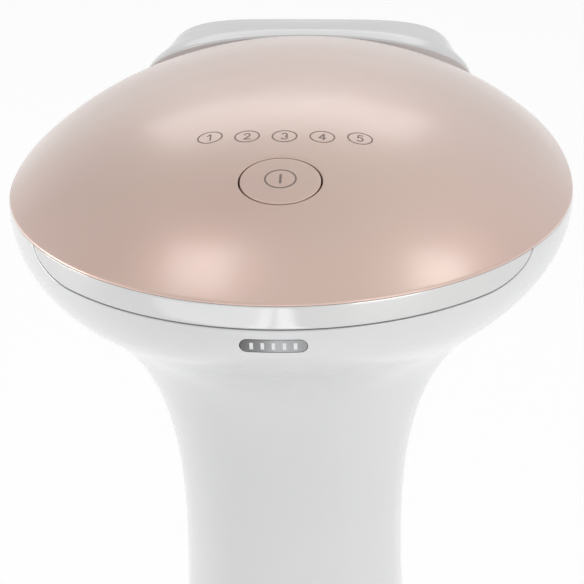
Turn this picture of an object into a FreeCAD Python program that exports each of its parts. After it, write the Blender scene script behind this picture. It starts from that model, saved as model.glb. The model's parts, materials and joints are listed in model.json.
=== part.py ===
"""IPL hair remover handset with a clip-on window attachment, as separate pieces.

Frame: millimetres, +Z up along the grip, +Y towards the light window, -Y towards the control side.
The origin is the centre of the flat foot of the grip.
"""
import FreeCAD, Part
import math
import operator
import os

import Sketcher
from FreeCAD import Vector

doc = FreeCAD.newDocument("ipl_hair_remover")

# ---------------------------------------------------------------- driving dimensions
DIMENSIONS = {
    "rim_height": 165.0,        # plane where the top cover meets the white body
    "head_half_width": 42.5,
    "head_rear": 52.9,          # widest line of the head to its rear rim
    "head_front": 71.5,         # widest line to the virtual tip of the plan outline
    "face_dist": 55.0,          # widest line to the flat front face
    "dome_rise": 15.0,
    "cover_edge": 0.3,          # upright edge of the cover above the rim plane
    "wall": 2.0,
    "gap": 0.15,                # shut line between outer pieces
    "slack": 0.1,               # assembly play between inner pieces
    "seam_pos": 2.0,            # y of the seam between rear and front shell
    "foot_cap_height": 9.0,
    "band_height": 3.5,
    "band_half_width": 36.1,
    "button_pos": -30.5,        # y of the power button's centre
    "button_radius": 5.85,
    "button_gap": 0.25,
    "button_travel": 0.8,
    "level_pos": -18.1,
    "level_pitch": 5.5,
    "level_bow": 0.26,
    "guide_radius": 1.3,
    "ready_drop": 6.15,         # ready light's centre below the rim plane
    "ready_width": 9.5,
    "ready_height": 2.1,
    "trigger_width": 15.0,
    "trigger_length": 25.0,
    "trigger_height": 107.0,    # height of the trigger's centre
    "trigger_front": 21.7,
    "trigger_play": 0.15,
    "window_drop": 7.5,         # light window's centre below the rim plane
    "aperture_width": 35.0,
    "aperture_height": 12.4,
    "contact_frame_width": 41.0,
    "contact_frame_height": 18.0,
    "contact_frame_proud": 1.0,
    "attachment_depth": 13.0,
    "magnet_radius": 1.25,
    "tube_radius": 2.5,
    "tube_length": 48.0,
    "tube_pos": 34.0,
    "fan_size": 30.0,
    "fan_depth": 10.0,
    "fan_pos": 3.4,             # y of the fan's rear face
    "fan_drop": 10.0,           # fan's axis below the rim plane
    "capacitor_radius": 11.0,
    "capacitor_length": 58.0,
    "capacitor_pos": 4.3,
    "board_thick": 1.6,
    "board_pos": -10.9,         # y of the main board's rear face
    "screw_radius": 0.88,
    "screw_head": 2.0,
    "socket_bore": 2.8,
    "socket_radius": 4.0,
    "socket_depth": 9.0,
}
sheet = doc.addObject("Spreadsheet::Sheet", "dims")
for row, (alias, number) in enumerate(DIMENSIONS.items(), start=1):
    sheet.set(f"A{row}", alias)
    sheet.set(f"B{row}", str(number))
    sheet.setAlias(f"B{row}", alias)
doc.recompute()


class Size:
    """A length and the sheet formula that gives it. Plain arithmetic keeps both."""

    def __init__(self, value, formula=None):
        self.value = float(value)
        self.formula = formula or f"({self.value:.9g})"

    def __float__(self):
        return self.value

    def __add__(self, other):
        return combine(self, "+", other)

    def __radd__(self, other):
        return combine(other, "+", self)

    def __sub__(self, other):
        return combine(self, "-", other)

    def __rsub__(self, other):
        return combine(other, "-", self)

    def __mul__(self, other):
        return combine(self, "*", other)

    def __rmul__(self, other):
        return combine(other, "*", self)

    def __truediv__(self, other):
        return combine(self, "/", other)

    def __neg__(self):
        return combine(0, "-", self)


OPERATIONS = {"+": operator.add, "-": operator.sub, "*": operator.mul, "/": operator.truediv}


def as_size(value):
    return value if isinstance(value, Size) else Size(value)


def combine(left, sign, right):
    left, right = as_size(left), as_size(right)
    return Size(OPERATIONS[sign](left.value, right.value), f"({left.formula} {sign} {right.formula})")


def dimension(alias):
    """One cell of the sheet, as a Size."""
    return Size(sheet.get(alias), f"dims.{alias}")


RIM = dimension("rim_height")
FACE = dimension("face_dist")
WALL = dimension("wall")
GAP = dimension("gap")
SLACK = dimension("slack")
WINDOW_Z = RIM - dimension("window_drop")
FAR = 200.0                     # reaches past the whole handset
SUBPARTS = []


# ---------------------------------------------------------------- document objects from sizes
TURNS = {
    "+Z": FreeCAD.Rotation(),
    "-Z": FreeCAD.Rotation(Vector(1, 0, 0), 180),
    "+Y": FreeCAD.Rotation(Vector(1, 0, 0), -90),
    "-Y": FreeCAD.Rotation(Vector(1, 0, 0), 90),
    "+X": FreeCAD.Rotation(Vector(0, 1, 0), 90),
    "-X": FreeCAD.Rotation(Vector(0, 1, 0), -90),
}


def bind(obj, **sizes):
    """Binds properties to the sheet through each size's formula."""
    for prop, value in sizes.items():
        obj.setExpression(prop, as_size(value).formula)
    return obj


def place(obj, x, y, z, turn="+Z"):
    rotation = TURNS[turn] if isinstance(turn, str) else turn
    obj.Placement = FreeCAD.Placement(Vector(x, y, z), rotation)
    for axis, value in zip("xyz", (x, y, z)):
        obj.setExpression(f"Placement.Base.{axis}", as_size(value).formula)
    return obj


def box(x, y, z):
    """Block between three pairs of limits."""
    solid = doc.addObject("Part::Box", "block")
    bind(solid, Length=x[1] - as_size(x[0]), Width=y[1] - as_size(y[0]), Height=z[1] - as_size(z[0]))
    return place(solid, x[0], y[0], z[0])


def plate(half_width, y, z, half_height):
    """Block centred on x = 0 and on height z, between two y limits."""
    return box((-half_width, half_width), y, (z - half_height, z + half_height))


def rod(radius, x, y, z, turn, length):
    """Cylinder that starts at a point and runs along a direction."""
    return place(bind(doc.addObject("Part::Cylinder", "rod"), Radius=radius, Height=length), x, y, z, turn)


def rounded(solid, radius, along):
    """Fillets a block's four edges that run along an axis."""
    solid.recompute()
    edges = [number for number, edge in enumerate(solid.Shape.Edges, start=1)
             if abs(edge.tangentAt(edge.FirstParameter).dot(along)) > 0.99]
    fillet = doc.addObject("Part::Fillet", "rounded")
    fillet.Base = solid
    fillet.Edges = [(number, float(radius), float(radius)) for number in edges]
    return fillet


ALONG_Y = Vector(0, 1, 0)
ALONG_Z = Vector(0, 0, 1)


def slot(half_width, half_height, corner, y, z=WINDOW_Z):
    """Rounded rectangle in the XZ plane, centred on x = 0, between two y limits."""
    return rounded(plate(half_width, y, z, half_height), corner, ALONG_Y)


def fuse(*pieces):
    joined = doc.addObject("Part::MultiFuse", "fused")
    joined.Shapes = list(pieces)
    joined.Refine = False
    return joined


def cut(base, *tools):
    result = doc.addObject("Part::Cut", "cut")
    result.Base = base
    result.Tool = tools[0] if len(tools) == 1 else fuse(*tools)
    result.Refine = False
    return result


def common(first, second):
    result = doc.addObject("Part::Common", "common")
    result.Base = first
    result.Tool = second
    result.Refine = False
    return result


def group(pieces):
    """Several solids of one node."""
    compound = doc.addObject("Part::Compound", "group")
    compound.Links = pieces
    return compound


def freeform(shape):
    """A surface form that no sketch or primitive gives."""
    obj = doc.addObject("Part::Feature", "form")
    obj.Shape = shape
    return obj


def keep(obj, label):
    """Marks a document object as a finished piece; its label names its file."""
    obj.Label = label
    SUBPARTS.append(obj)
    return obj


def screw(x, y, z, turn, length, sunk=0.0):
    """Pan-head screw whose head sits on the given point and whose shank runs along the direction."""
    head_height = 1.3
    direction = TURNS[turn].multVec(Vector(0, 0, 1))
    back = [-(head_height - sunk) * c for c in direction]
    head = rod(dimension("screw_head"), x + back[0], y + back[1], z + back[2], turn, head_height)
    shank = rod(dimension("screw_radius"), x + back[0], y + back[1], z + back[2], turn, length + head_height)
    return fuse(head, shank)


# ---------------------------------------------------------------- PartDesign bodies
def origin_feature(body, role):
    return next(feature for feature in body.Origin.OriginFeatures if feature.Role == role)


def sketch_on(body, role="XY_Plane"):
    sketch = body.newObject("Sketcher::SketchObject", "profile")
    sketch.AttachmentSupport = [(origin_feature(body, role), "")]
    sketch.MapMode = "FlatFace"
    return sketch


def centred_circle(sketch, radius):
    curve = sketch.addGeometry(Part.Circle(Vector(), Vector(0, 0, 1), float(radius)), False)
    sketch.addConstraint(Sketcher.Constraint("Coincident", curve, 3, -1, 1))
    number = sketch.addConstraint(Sketcher.Constraint("Radius", curve, float(radius)))
    sketch.setExpression(f"Constraints[{number}]", as_size(radius).formula)


def centred_rectangle(sketch, half_width, half_height):
    w, h = float(half_width), float(half_height)
    corners = [Vector(-w, -h), Vector(w, -h), Vector(w, h), Vector(-w, h)]
    sides = zip(corners, corners[1:] + corners[:1])
    lines = [sketch.addGeometry(Part.LineSegment(start, end), False) for start, end in sides]
    for first, second in zip(lines, lines[1:] + lines[:1]):
        sketch.addConstraint(Sketcher.Constraint("Coincident", first, 2, second, 1))
    for kind, line in zip(("Horizontal", "Vertical") * 2, lines):
        sketch.addConstraint(Sketcher.Constraint(kind, line))
    sketch.addConstraint(Sketcher.Constraint("Symmetric", lines[0], 1, lines[1], 2, -1, 1))
    for kind, line, size in (("DistanceX", lines[0], half_width), ("DistanceY", lines[1], half_height)):
        number = sketch.addConstraint(Sketcher.Constraint(kind, line, 1, line, 2, 2 * float(size)))
        sketch.setExpression(f"Constraints[{number}]", as_size(2 * as_size(size)).formula)


def pad(body, sketch, length):
    feature = body.newObject("PartDesign::Pad", "pad")
    feature.Profile = sketch
    bind(feature, Length=length)
    body.Tip = feature
    return feature


def pocket(body, sketch, depth):
    """Cuts along +Z of the body from its sketch plane."""
    feature = body.newObject("PartDesign::Pocket", "pocket")
    feature.Profile = sketch
    feature.Reversed = True
    bind(feature, Length=depth)
    body.Tip = feature
    return feature


def chamfered(body, size, wanted):
    """Chamfers the body's edges that pass a test."""
    doc.recompute()
    base = body.Tip
    names = [f"Edge{n}" for n, edge in enumerate(base.Shape.Edges, start=1) if wanted(edge)]
    feature = body.newObject("PartDesign::Chamfer", "chamfer")
    feature.Base = (base, names)
    feature.Size = size
    body.Tip = feature
    return feature


def round_body(radius, length, bore=None):
    """Padded disc, or a ring where a bore radius is given, from the body's origin along +Z."""
    body = doc.addObject("PartDesign::Body", "turned")
    sketch = sketch_on(body)
    centred_circle(sketch, radius)
    if bore is not None:
        centred_circle(sketch, bore)
    pad(body, sketch, length)
    return body


def board_body(half_width, half_height, thickness):
    """Padded rectangle centred on the body's origin, thickness along +Z."""
    body = doc.addObject("PartDesign::Body", "board")
    sketch = sketch_on(body)
    centred_rectangle(sketch, half_width, half_height)
    pad(body, sketch, thickness)
    return body


# ---------------------------------------------------------------- form of the outer body
def fall(drop, half, power):
    """1 at the rim, 0.5 at `half` below it, towards 0 further down the neck."""
    return 1.0 / (1.0 + (max(drop, 0.0) / half) ** power)


def ease(value, start, end):
    """Smooth 0 to 1 step between start and end."""
    share = min(1.0, max(0.0, (value - start) / (end - start)))
    return share * share * (3 - 2 * share)


def half_width(drop):
    neck = 13.4 + 7.6 * ease(drop, 22.0, 150.0)
    return neck + (float(dimension("head_half_width")) - neck) * fall(drop, 19.7, 2.53)


def rear_reach(drop):
    grip = 18.0 + 2.6 * ease(drop, 60.0, 150.0)
    return grip + (float(dimension("head_rear")) - grip) * fall(drop, 17.1, 4.0)


def front_reach(drop):
    grip = 18.6 + 2.0 * ease(drop, 60.0, 150.0)
    return grip + (float(dimension("head_front")) - grip) * fall(drop, 27.0, 6.0)


def squareness(drop):
    """Superellipse exponent: 2 is an ellipse at the rim, higher is squarer on the grip."""
    return 2.0 + 0.7 * (1.0 - fall(drop, 19.7, 2.5))


FOOT_ROUNDING = 4.0


def foot_inset(height):
    """How far the outline draws in near the foot, for its rounded bottom edge."""
    if height >= FOOT_ROUNDING:
        return 0.0
    return FOOT_ROUNDING - math.sqrt(FOOT_ROUNDING ** 2 - (FOOT_ROUNDING - height) ** 2)


def outline_point(angle, side, rear, front, power):
    """Point of an egg outline. Angle 0 is the rear and 180 degrees the front."""
    c, s = math.cos(angle), math.sin(angle)
    x = side * math.copysign(abs(s) ** (2 / power), s)
    reach = rear if c > 0 else front
    return x, -math.copysign(reach * abs(c) ** (2 / power), c)


OUTLINE_POINTS = 32


def closed_curve(points):
    curve = Part.BSplineCurve()
    curve.interpolate(Points=points, PeriodicFlag=True)
    return Part.Wire([curve.toShape()])


def section(height, inset=0.0):
    """Closed outline of the body at a height; an inner one is drawn in by inset.

    Inner outlines are taken a little lower on the form, so that the sloping underside of the
    head keeps its wall.
    """
    underside = 0.8
    drop = float(RIM) - height + (underside * inset)
    inset += foot_inset(height) if inset == 0 else 0.0
    side, rear, front = half_width(drop) - inset, rear_reach(drop) - inset, front_reach(drop) - inset
    turns = [2 * math.pi * i / OUTLINE_POINTS for i in range(OUTLINE_POINTS)]
    outline = [outline_point(turn, side, rear, front, squareness(drop)) for turn in turns]
    return closed_curve([Vector(x, y, height) for x, y in outline])


def loft(heights, inset=0.0):
    return freeform(Part.makeLoft([section(z, inset) for z in heights], True, False))


# Heights of the sections: close together at the foot's edge and where the head flares.
FOOT_HEIGHTS = [0, 0.35, 1.3, 4]
GRIP_HEIGHTS = [20, 50, 80, 100, 112, 120]
HEAD_HEIGHTS = [126, 131, 135, 139, 143, 147, 152, 156, 160, 163]
CAP_FLOOR = 2.5


def dome_height(x, y):
    """Height of the cover's outer surface; it runs on smoothly past the outline."""
    rear_share, front_share = DIMENSIONS["head_rear"] ** -2, DIMENSIONS["head_front"] ** -2
    share = front_share + (rear_share - front_share) / (1 + math.exp(y / 8.0))
    spread = (x / DIMENSIONS["head_half_width"]) ** 2 + y * y * share
    steep = 0.22
    rise = DIMENSIONS["dome_rise"] - DIMENSIONS["cover_edge"]
    return float(RIM) + DIMENSIONS["cover_edge"] + rise * (1 - (1 - steep) * spread - steep * spread ** 3)


def below_dome(lowered=0.0):
    """Solid under the dome surface, deep enough to reach past the rim."""
    step = 4.0
    xs = [step * i for i in range(-12, 13)]
    ys = [step * j for j in range(-15, 16)]
    surface = Part.BSplineSurface()
    surface.interpolate([[Vector(x, y, dome_height(x, y) - lowered) for y in ys] for x in xs])
    return freeform(surface.toShape().extrude(Vector(0, 0, -60)))


def head_prism(inset=0.0):
    """Upright block with the rim's outline, standing on the rim plane."""
    return freeform(Part.Face(section(float(RIM), inset)).extrude(Vector(0, 0, 30)))


def everything(x=(-FAR, FAR), y=(-FAR, FAR), z=(-FAR, FAR)):
    """Half-space or slab that keeps one side of a shape."""
    return box(x, y, z)


lower_outer = loft(FOOT_HEIGHTS + GRIP_HEIGHTS + HEAD_HEIGHTS + [float(RIM)])
lower_inner = loft([CAP_FLOOR] + GRIP_HEIGHTS + HEAD_HEIGHTS + [float(RIM) + 1], float(WALL))
lower_wall = cut(lower_outer, lower_inner)


# ---------------------------------------------------------------- top cover and its controls
# The power button's axis is square to the dome, which slopes down towards the rear here.
BUTTON_Y = dimension("button_pos")
BUTTON_SLOPE = math.atan(dome_height(0, float(BUTTON_Y) + 0.5) - dome_height(0, float(BUTTON_Y) - 0.5))
BUTTON_TURN = FreeCAD.Rotation(Vector(1, 0, 0), math.degrees(BUTTON_SLOPE))
BUTTON_TOP = Vector(0, float(BUTTON_Y), dome_height(0, float(BUTTON_Y)))
CONTROL_TOP = RIM + 4.4         # upper face of the control board
CONTROL_SCREWS = [(x, y) for x in (-17, 17) for y in (-20, -11)]


def on_button_axis(obj, depth):
    """Places an upright piece on the button's axis, its base a depth under the dome."""
    base = BUTTON_TOP - BUTTON_TURN.multVec(Vector(0, 0, float(depth)))
    obj.Placement = FreeCAD.Placement(base, BUTTON_TURN)
    return obj


def button_rod(radius, bottom, top):
    """Cylinder on the button's axis between two depths under the dome."""
    length = as_size(bottom) - top
    return on_button_axis(bind(doc.addObject("Part::Cylinder", "rod"), Radius=radius, Height=length), bottom)


def top_cover():
    blank = common(common(head_prism(), below_dome()), everything(y=(-FAR, FACE)))
    hollow = common(head_prism(float(WALL)), below_dome(float(WALL)))
    shell = cut(blank, hollow, button_rod(dimension("button_radius") + dimension("button_gap"), 8.0, -8.0))
    posts = []
    for x, y in CONTROL_SCREWS:
        post = rod(2.4, x, y, CONTROL_TOP, "+Z", 6.5)
        posts.append(cut(common(post, below_dome(float(WALL) / 2)),
                         rod(dimension("screw_radius") + 0.02, x, y, CONTROL_TOP - 1, "+Z", 4.0)))
    keep(fuse(shell, *posts), "top_cover")


def power_button():
    radius = dimension("button_radius")
    cap = common(button_rod(radius, 3.4, -2.0), below_dome())
    hollow = button_rod(radius - 1.0, 5.0, 1.6)
    flange = button_rod(radius + 1.1, 3.4, 2.6)
    stem = button_rod(1.9, 4.0, 1.0)
    keep(fuse(cut(fuse(cap, flange), hollow), stem), "power_button")
    board = on_button_axis(board_body(6.5, 4.6, 1.0), 8.7)
    keep(board, "power_button_board")
    case = on_button_axis(board_body(2.6, 2.6, 2.4), 7.65)
    keep(cut(case, button_rod(1.55, 7.0, 4.0)), "power_switch")
    keep(button_rod(1.45, 5.95, 4.05), "power_switch_plunger")


def control_board():
    board = place(board_body(21.0, 7.5, 1.2), 0, -15.5, CONTROL_TOP - 1.2)
    chamfered(board, 2.0, lambda edge: abs(edge.tangentAt(edge.FirstParameter).z) > 0.99)
    holes = [rod(1.1, x, y, CONTROL_TOP - 3, "+Z", 5) for x, y in CONTROL_SCREWS]
    keep(cut(board, *holes), "control_board")
    screws = [screw(x, y, CONTROL_TOP - 1.2, "+Z", 3.6) for x, y in CONTROL_SCREWS]
    keep(group(screws), "control_board_screws")


def level_lights():
    guides, lights = [], []
    for k in range(-2, 3):
        x = k * dimension("level_pitch")
        y = dimension("level_pos") + k * k * dimension("level_bow")
        lights.append(box((x - 1.0, x + 1.0), (y - 0.7, y + 0.7), (CONTROL_TOP, CONTROL_TOP + 0.8)))
        foot = CONTROL_TOP + 0.9
        top = dome_height(float(x), float(y)) - float(WALL) - 0.35
        guides.append(rod(dimension("guide_radius"), x, y, foot, "+Z", top - foot))
    keep(group(guides), "level_light_guides")
    keep(group(lights), "level_leds")


# ---------------------------------------------------------------- white body
def band_cutter(grow=0.0):
    """Space of the rear band: straight along the rim, with quarter-ellipse lower corners."""
    half, height = dimension("band_half_width") + grow, dimension("band_height") + grow
    corner_run = 6.0
    low = RIM - height
    middle = box((corner_run - half, half - corner_run), (-70, -15), (low, RIM + 1))
    ends = []
    for side in (-1, 1):
        centre = side * (half - corner_run)
        outline = Part.Ellipse(Vector(centre + side * corner_run, -70, RIM), Vector(centre, -70, low),
                               Vector(centre, -70, RIM))
        lower_corner = Part.Face(Part.Wire([outline.toShape()])).extrude(Vector(0, 55, 0))
        upper = box(sorted((centre, centre + side * corner_run), key=float), (-70, -15), (RIM, RIM + 1))
        ends += [freeform(lower_corner), upper]
    return fuse(middle, *ends)


def ready_slot(grow=0.0):
    half_height = dimension("ready_height") / 2 + grow
    return slot(dimension("ready_width") / 2 + grow, half_height, half_height - 0.01, (-70, -30),
                RIM - dimension("ready_drop"))


def rear_band():
    ring = common(lower_wall, everything(z=(-FAR, RIM - GAP)))
    keep(common(ring, band_cutter()), "rear_trim_band")


def ready_light():
    keep(common(lower_wall, ready_slot()), "ready_light_lens")
    z = RIM - dimension("ready_drop")
    keep(place(board_body(7.0, 2.6, 1.2), 0, -45.2, z, "+Y"), "ready_light_board")
    lights = [box((x - 0.9, x + 0.9), (-46.0, -45.2), (z - 0.6, z + 0.6)) for x in (-3, 0, 3)]
    keep(group(lights), "ready_light_leds")


BOARD_REAR = dimension("board_pos")
BOARD_FRONT = BOARD_REAR + dimension("board_thick")
BOARD_SCREWS = (28.0, 92.0)


SHELL_SPAN_Z = (dimension("foot_cap_height") + GAP, RIM - GAP)


def rear_shell():
    span = everything(y=(-FAR, dimension("seam_pos") - GAP / 2), z=SHELL_SPAN_Z)
    shell = cut(common(lower_wall, span), band_cutter(float(GAP)), ready_slot(0.08))
    posts = []
    for z in BOARD_SCREWS:
        post = common(rod(2.6, 0, BOARD_REAR, z, "-Y", 20), lower_outer)
        posts.append(cut(post, rod(dimension("screw_radius") + 0.02, 0, BOARD_REAR + 1, z, "-Y", 6.5)))
    keep(fuse(shell, *posts), "rear_shell")


TRAY_TOP = WINDOW_Z - 9.6
TRAY_BOTTOM = TRAY_TOP - 1.9
TRAY_SCREWS = [(-10.0, 40.0), (10.0, 40.0)]
TRIGGER_Z = dimension("trigger_height")


def vents():
    """Row of cooling slots through the underside of the head."""
    count, pitch, half = 7, 4.0, 0.8
    slots = []
    for i in range(count):
        x = (i - (count - 1) / 2) * pitch
        hole = box((x - half, x + half), (27, 46 - 0.35 * abs(x)), (RIM - 45, RIM - 26))
        slots.append(rounded(hole, half - 0.01, ALONG_Z))
    return slots


def front_shell():
    span = everything(y=(dimension("seam_pos") + GAP / 2, FACE), z=SHELL_SPAN_Z)
    play = dimension("trigger_play")
    finger_hole = slot(dimension("trigger_width") / 2 + play, dimension("trigger_length") / 2 + play, 6.0,
                       (5, 40), TRIGGER_Z)
    shell = cut(common(lower_wall, span), finger_hole, *vents())
    posts = []
    for x, y in TRAY_SCREWS:
        post = common(rod(2.6, x, y, TRAY_BOTTOM, "-Z", 30), lower_outer)
        posts.append(cut(post, rod(dimension("screw_radius") + 0.02, x, y, TRAY_BOTTOM + 1, "-Z", 5.5)))
    keep(fuse(shell, *posts), "front_shell")


def foot_cap():
    """Bottom cap with a lip inside the two shells and a collar for the socket."""
    height = dimension("foot_cap_height")
    cap = cut(common(lower_outer, everything(z=(-FAR, height))), lower_inner)
    lip_foot, lip_height, lip_wall = 6.0, 14.0, 1.4
    lip_core = loft([lip_foot - 1, 10, lip_height + 1], float(WALL) + lip_wall)
    lip = cut(common(lower_inner, everything(z=(lip_foot, lip_height))), lip_core)
    collar = rod(dimension("socket_radius") + 1.2, 0, 0, 1.0, "+Z", height - 1.0)
    bore = rod(dimension("socket_radius") + 0.05, 0, 0, -1, "+Z", 20)
    keep(cut(fuse(cap, lip, collar), bore), "foot_cap")


# ---------------------------------------------------------------- front face
MAGNETS = [(-12.5, 10.1), (12.5, 10.1), (-9.5, -11.6), (9.5, -11.6)]
SENSOR_Z = WINDOW_Z - 11.2
SENSOR_RADIUS = 1.8
PIN_Z = WINDOW_Z + 10.6
PIN_XS = (-4.5, -1.5, 1.5, 4.5)
BEZEL_REAR = FACE - 4.0
BEZEL_PLAY = 0.3


def bezel_cavity():
    """Inside of the head near its front, with assembly play all round."""
    inset = float(WALL) + BEZEL_PLAY
    heights = [128, 134, 140, 146, 149, 153, 158, 162, float(RIM)]
    lower = common(loft(heights, inset), everything(z=(-FAR, RIM)))
    upper = common(head_prism(inset), below_dome(inset))
    return common(fuse(lower, upper), everything(y=(BEZEL_REAR, FACE - 0.4)))


def at_magnets(radius, y, turn, length):
    return [rod(radius, x, y, WINDOW_Z + z, turn, length) for x, z in MAGNETS]


def front_bezel():
    radius = dimension("magnet_radius")
    holes = at_magnets(radius + 0.05, FACE - 2.6, "+Y", 5)
    holes.append(slot(20.1, 8.6, 4.1, (0, 80)))
    holes.append(rod(SENSOR_RADIUS + 0.05, 0, 0, SENSOR_Z, "+Y", 80))
    holes += [rod(0.75, x, 0, PIN_Z, "+Y", 80) for x in PIN_XS]
    keep(cut(bezel_cavity(), *holes), "front_bezel")
    keep(group(at_magnets(radius, FACE - 2.5, "+Y", 2.0)), "head_magnets")
    keep(group([rod(0.7, x, BEZEL_REAR, PIN_Z, "+Y", 3.9) for x in PIN_XS]), "contact_pins")
    keep(rod(SENSOR_RADIUS, 0, BEZEL_REAR, SENSOR_Z, "+Y", 3.6), "skin_sensor_lens")
    keep(place(board_body(5.0, 2.3, 1.2), 0, BEZEL_REAR - 1.3, SENSOR_Z, "+Y"), "skin_sensor_board")


def light_window():
    ring = cut(slot(20.0, 8.5, 4.0, (FACE - 7.0, FACE - 0.2)), slot(18.0, 6.6, 2.4, (0, 80)),
               slot(19.1, 7.6, 3.1, (FACE - 5.2, FACE - 2.4)))
    keep(ring, "window_frame")
    keep(slot(19.0, 7.5, 3.0, (FACE - 4.5, FACE - 2.5)), "exit_filter_glass")
    gasket = cut(slot(19.0, 7.5, 3.0, (FACE - 5.1, FACE - 4.5)), slot(18.0, 6.6, 2.4, (0, 80)))
    keep(gasket, "window_gasket")


# ---------------------------------------------------------------- light engine
TUBE_Y = dimension("tube_pos")
ENGINE_REAR = Size(25.4)
REFLECTOR_HALF = 19.0


def trough(radius, half_length, front):
    """Half-round trough round the tube, open to the front."""
    centre = TUBE_Y + 2.0
    back = rod(radius, -half_length, centre, WINDOW_Z, "+X", 2 * half_length)
    return fuse(back, plate(half_length, (centre, front), WINDOW_Z, radius))


def reflector():
    keep(cut(trough(7.4, REFLECTOR_HALF, FACE - 8.2), trough(6.8, REFLECTOR_HALF + 1, FACE)), "reflector")


def flash_tube():
    radius, length = dimension("tube_radius"), dimension("tube_length")
    tube = round_body(radius, length, bore=1.6)
    keep(place(tube, -length / 2, TUBE_Y, WINDOW_Z, "+X"), "flash_tube")
    ends = []
    for side, turn in ((-1, "-X"), (1, "+X")):
        ferrule = rod(3.2, side * (length / 2 - 4), TUBE_Y, WINDOW_Z, turn, 5)
        seat = rod(radius + 0.05, side * (length / 2 - 5), TUBE_Y, WINDOW_Z, turn, 5.1)
        electrode = rod(1.5, side * (length / 2 - 7), TUBE_Y, WINDOW_Z, turn, 7.5)
        ends.append(fuse(cut(ferrule, seat), electrode))
    keep(group(ends), "tube_electrodes")


def lamp_housing():
    """Heat-proof carrier round the reflector, with side pods for the ends of the tube."""
    main = slot(20.8, 9.6, 3.0, (ENGINE_REAR, FACE - 7.2))
    pods = slot(26.2, 4.6, 1.5, (TUBE_Y - 5, TUBE_Y + 5))
    hollow = plate(REFLECTOR_HALF + 0.2, (ENGINE_REAR + 1.5, FACE), WINDOW_Z, 7.6)
    seats = rod(3.3, -25.2, TUBE_Y, WINDOW_Z, "+X", 50.4)
    keep(cut(fuse(main, pods), hollow, seats), "lamp_housing")


FAN_Z = RIM - dimension("fan_drop")
FAN_Y = dimension("fan_pos")
FAN_HALF = dimension("fan_size") / 2
FAN_HOLES = [(x, z) for x in (-12.2, 12.2) for z in (-12.2, 12.2)]
SINK_Y = 22.6                   # rear face of the heat sink's base plate


def heat_sink():
    base = plate(19.0, (SINK_Y, ENGINE_REAR), FAN_Z, 13.9)
    count, pitch, half = 10, 4.0, 0.6
    fins = []
    for i in range(count):
        x = (i - (count - 1) / 2) * pitch
        fins.append(box((x - half, x + half), (FAN_Y + dimension("fan_depth") + SLACK, SINK_Y + 0.5),
                        (FAN_Z - 9.5, FAN_Z + 9.5)))
    holes = [rod(dimension("screw_radius") + 0.02, x, SINK_Y - 1, FAN_Z + z, "+Y", 3.4) for x, z in FAN_HOLES]
    keep(cut(fuse(base, *fins), *holes), "heat_sink")


def fan_frame():
    depth = dimension("fan_depth")
    web = 1.4
    frame = rounded(plate(FAN_HALF, (FAN_Y, FAN_Y + depth), FAN_Z, FAN_HALF), 3.0, ALONG_Y)
    throat = rod(FAN_HALF - 1.0, 0, FAN_Y + web, FAN_Z, "+Y", 20)
    holes = [rod(1.2, x, 0, FAN_Z + z, "+Y", 30) for x, z in FAN_HOLES]
    inlet = rod(FAN_HALF - 1.0, 0, FAN_Y - 1, FAN_Z, "+Y", 3)
    spider = [rod(6.6, 0, FAN_Y - 2, FAN_Z, "+Y", web + 2)]
    for k in range(3):
        arm = place(bind(doc.addObject("Part::Box", "arm"), Length=1.8, Width=web + 2, Height=FAN_HALF),
                    0, FAN_Y - 2, FAN_Z)
        arm.Placement.Rotation = FreeCAD.Rotation(Vector(0, 1, 0), 120 * k + 15)
        spider.append(arm)
    keep(cut(frame, throat, cut(inlet, *spider), *holes), "fan_frame")


def fan_rotor():
    """Hub and seven pitched blades, drawn along +Z and turned to face +Y."""
    body = doc.addObject("PartDesign::Body", "rotor")
    hub = sketch_on(body)
    centred_circle(hub, 6.2)
    pad(body, hub, 7.2)
    blade = body.newObject("PartDesign::AdditiveBox", "blade")
    bind(blade, Length=FAN_HALF - 1.9 - 5.8, Width=0.9, Height=8.6)
    blade.Placement = FreeCAD.Placement(Vector(5.8, -3.0, 0.45), FreeCAD.Rotation(Vector(1, 0, 0), -38))
    doc.recompute()
    pattern = body.newObject("PartDesign::PolarPattern", "blades")
    pattern.Originals = [blade]
    pattern.Axis = (origin_feature(body, "Z_Axis"), [""])
    pattern.Angle = 360
    pattern.Occurrences = 7
    body.Tip = pattern
    keep(place(body, 0, FAN_Y + 2.0, FAN_Z, "+Y"), "fan_rotor")


def fan_screws():
    screws = [screw(x, FAN_Y, FAN_Z + z, "+Y", SINK_Y + 2.2 - FAN_Y) for x, z in FAN_HOLES]
    keep(group(screws), "fan_screws")


def engine_tray():
    tray = box((-16, 16), (ENGINE_REAR + SLACK, 46), (TRAY_BOTTOM, TRAY_TOP))
    holes = []
    for x, y in TRAY_SCREWS:
        holes.append(rod(1.1, x, y, TRAY_BOTTOM - 1, "+Z", 5))
        holes.append(rod(dimension("screw_head") + 0.15, x, y, TRAY_TOP - 1.4, "+Z", 5))
    keep(cut(tray, *holes), "engine_tray")
    screws = [screw(x, y, TRAY_TOP - 1.4, "-Z", 4.6) for x, y in TRAY_SCREWS]
    keep(group(screws), "tray_screws")


# ---------------------------------------------------------------- trigger
FLANGE_REAR = 13.4


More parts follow.
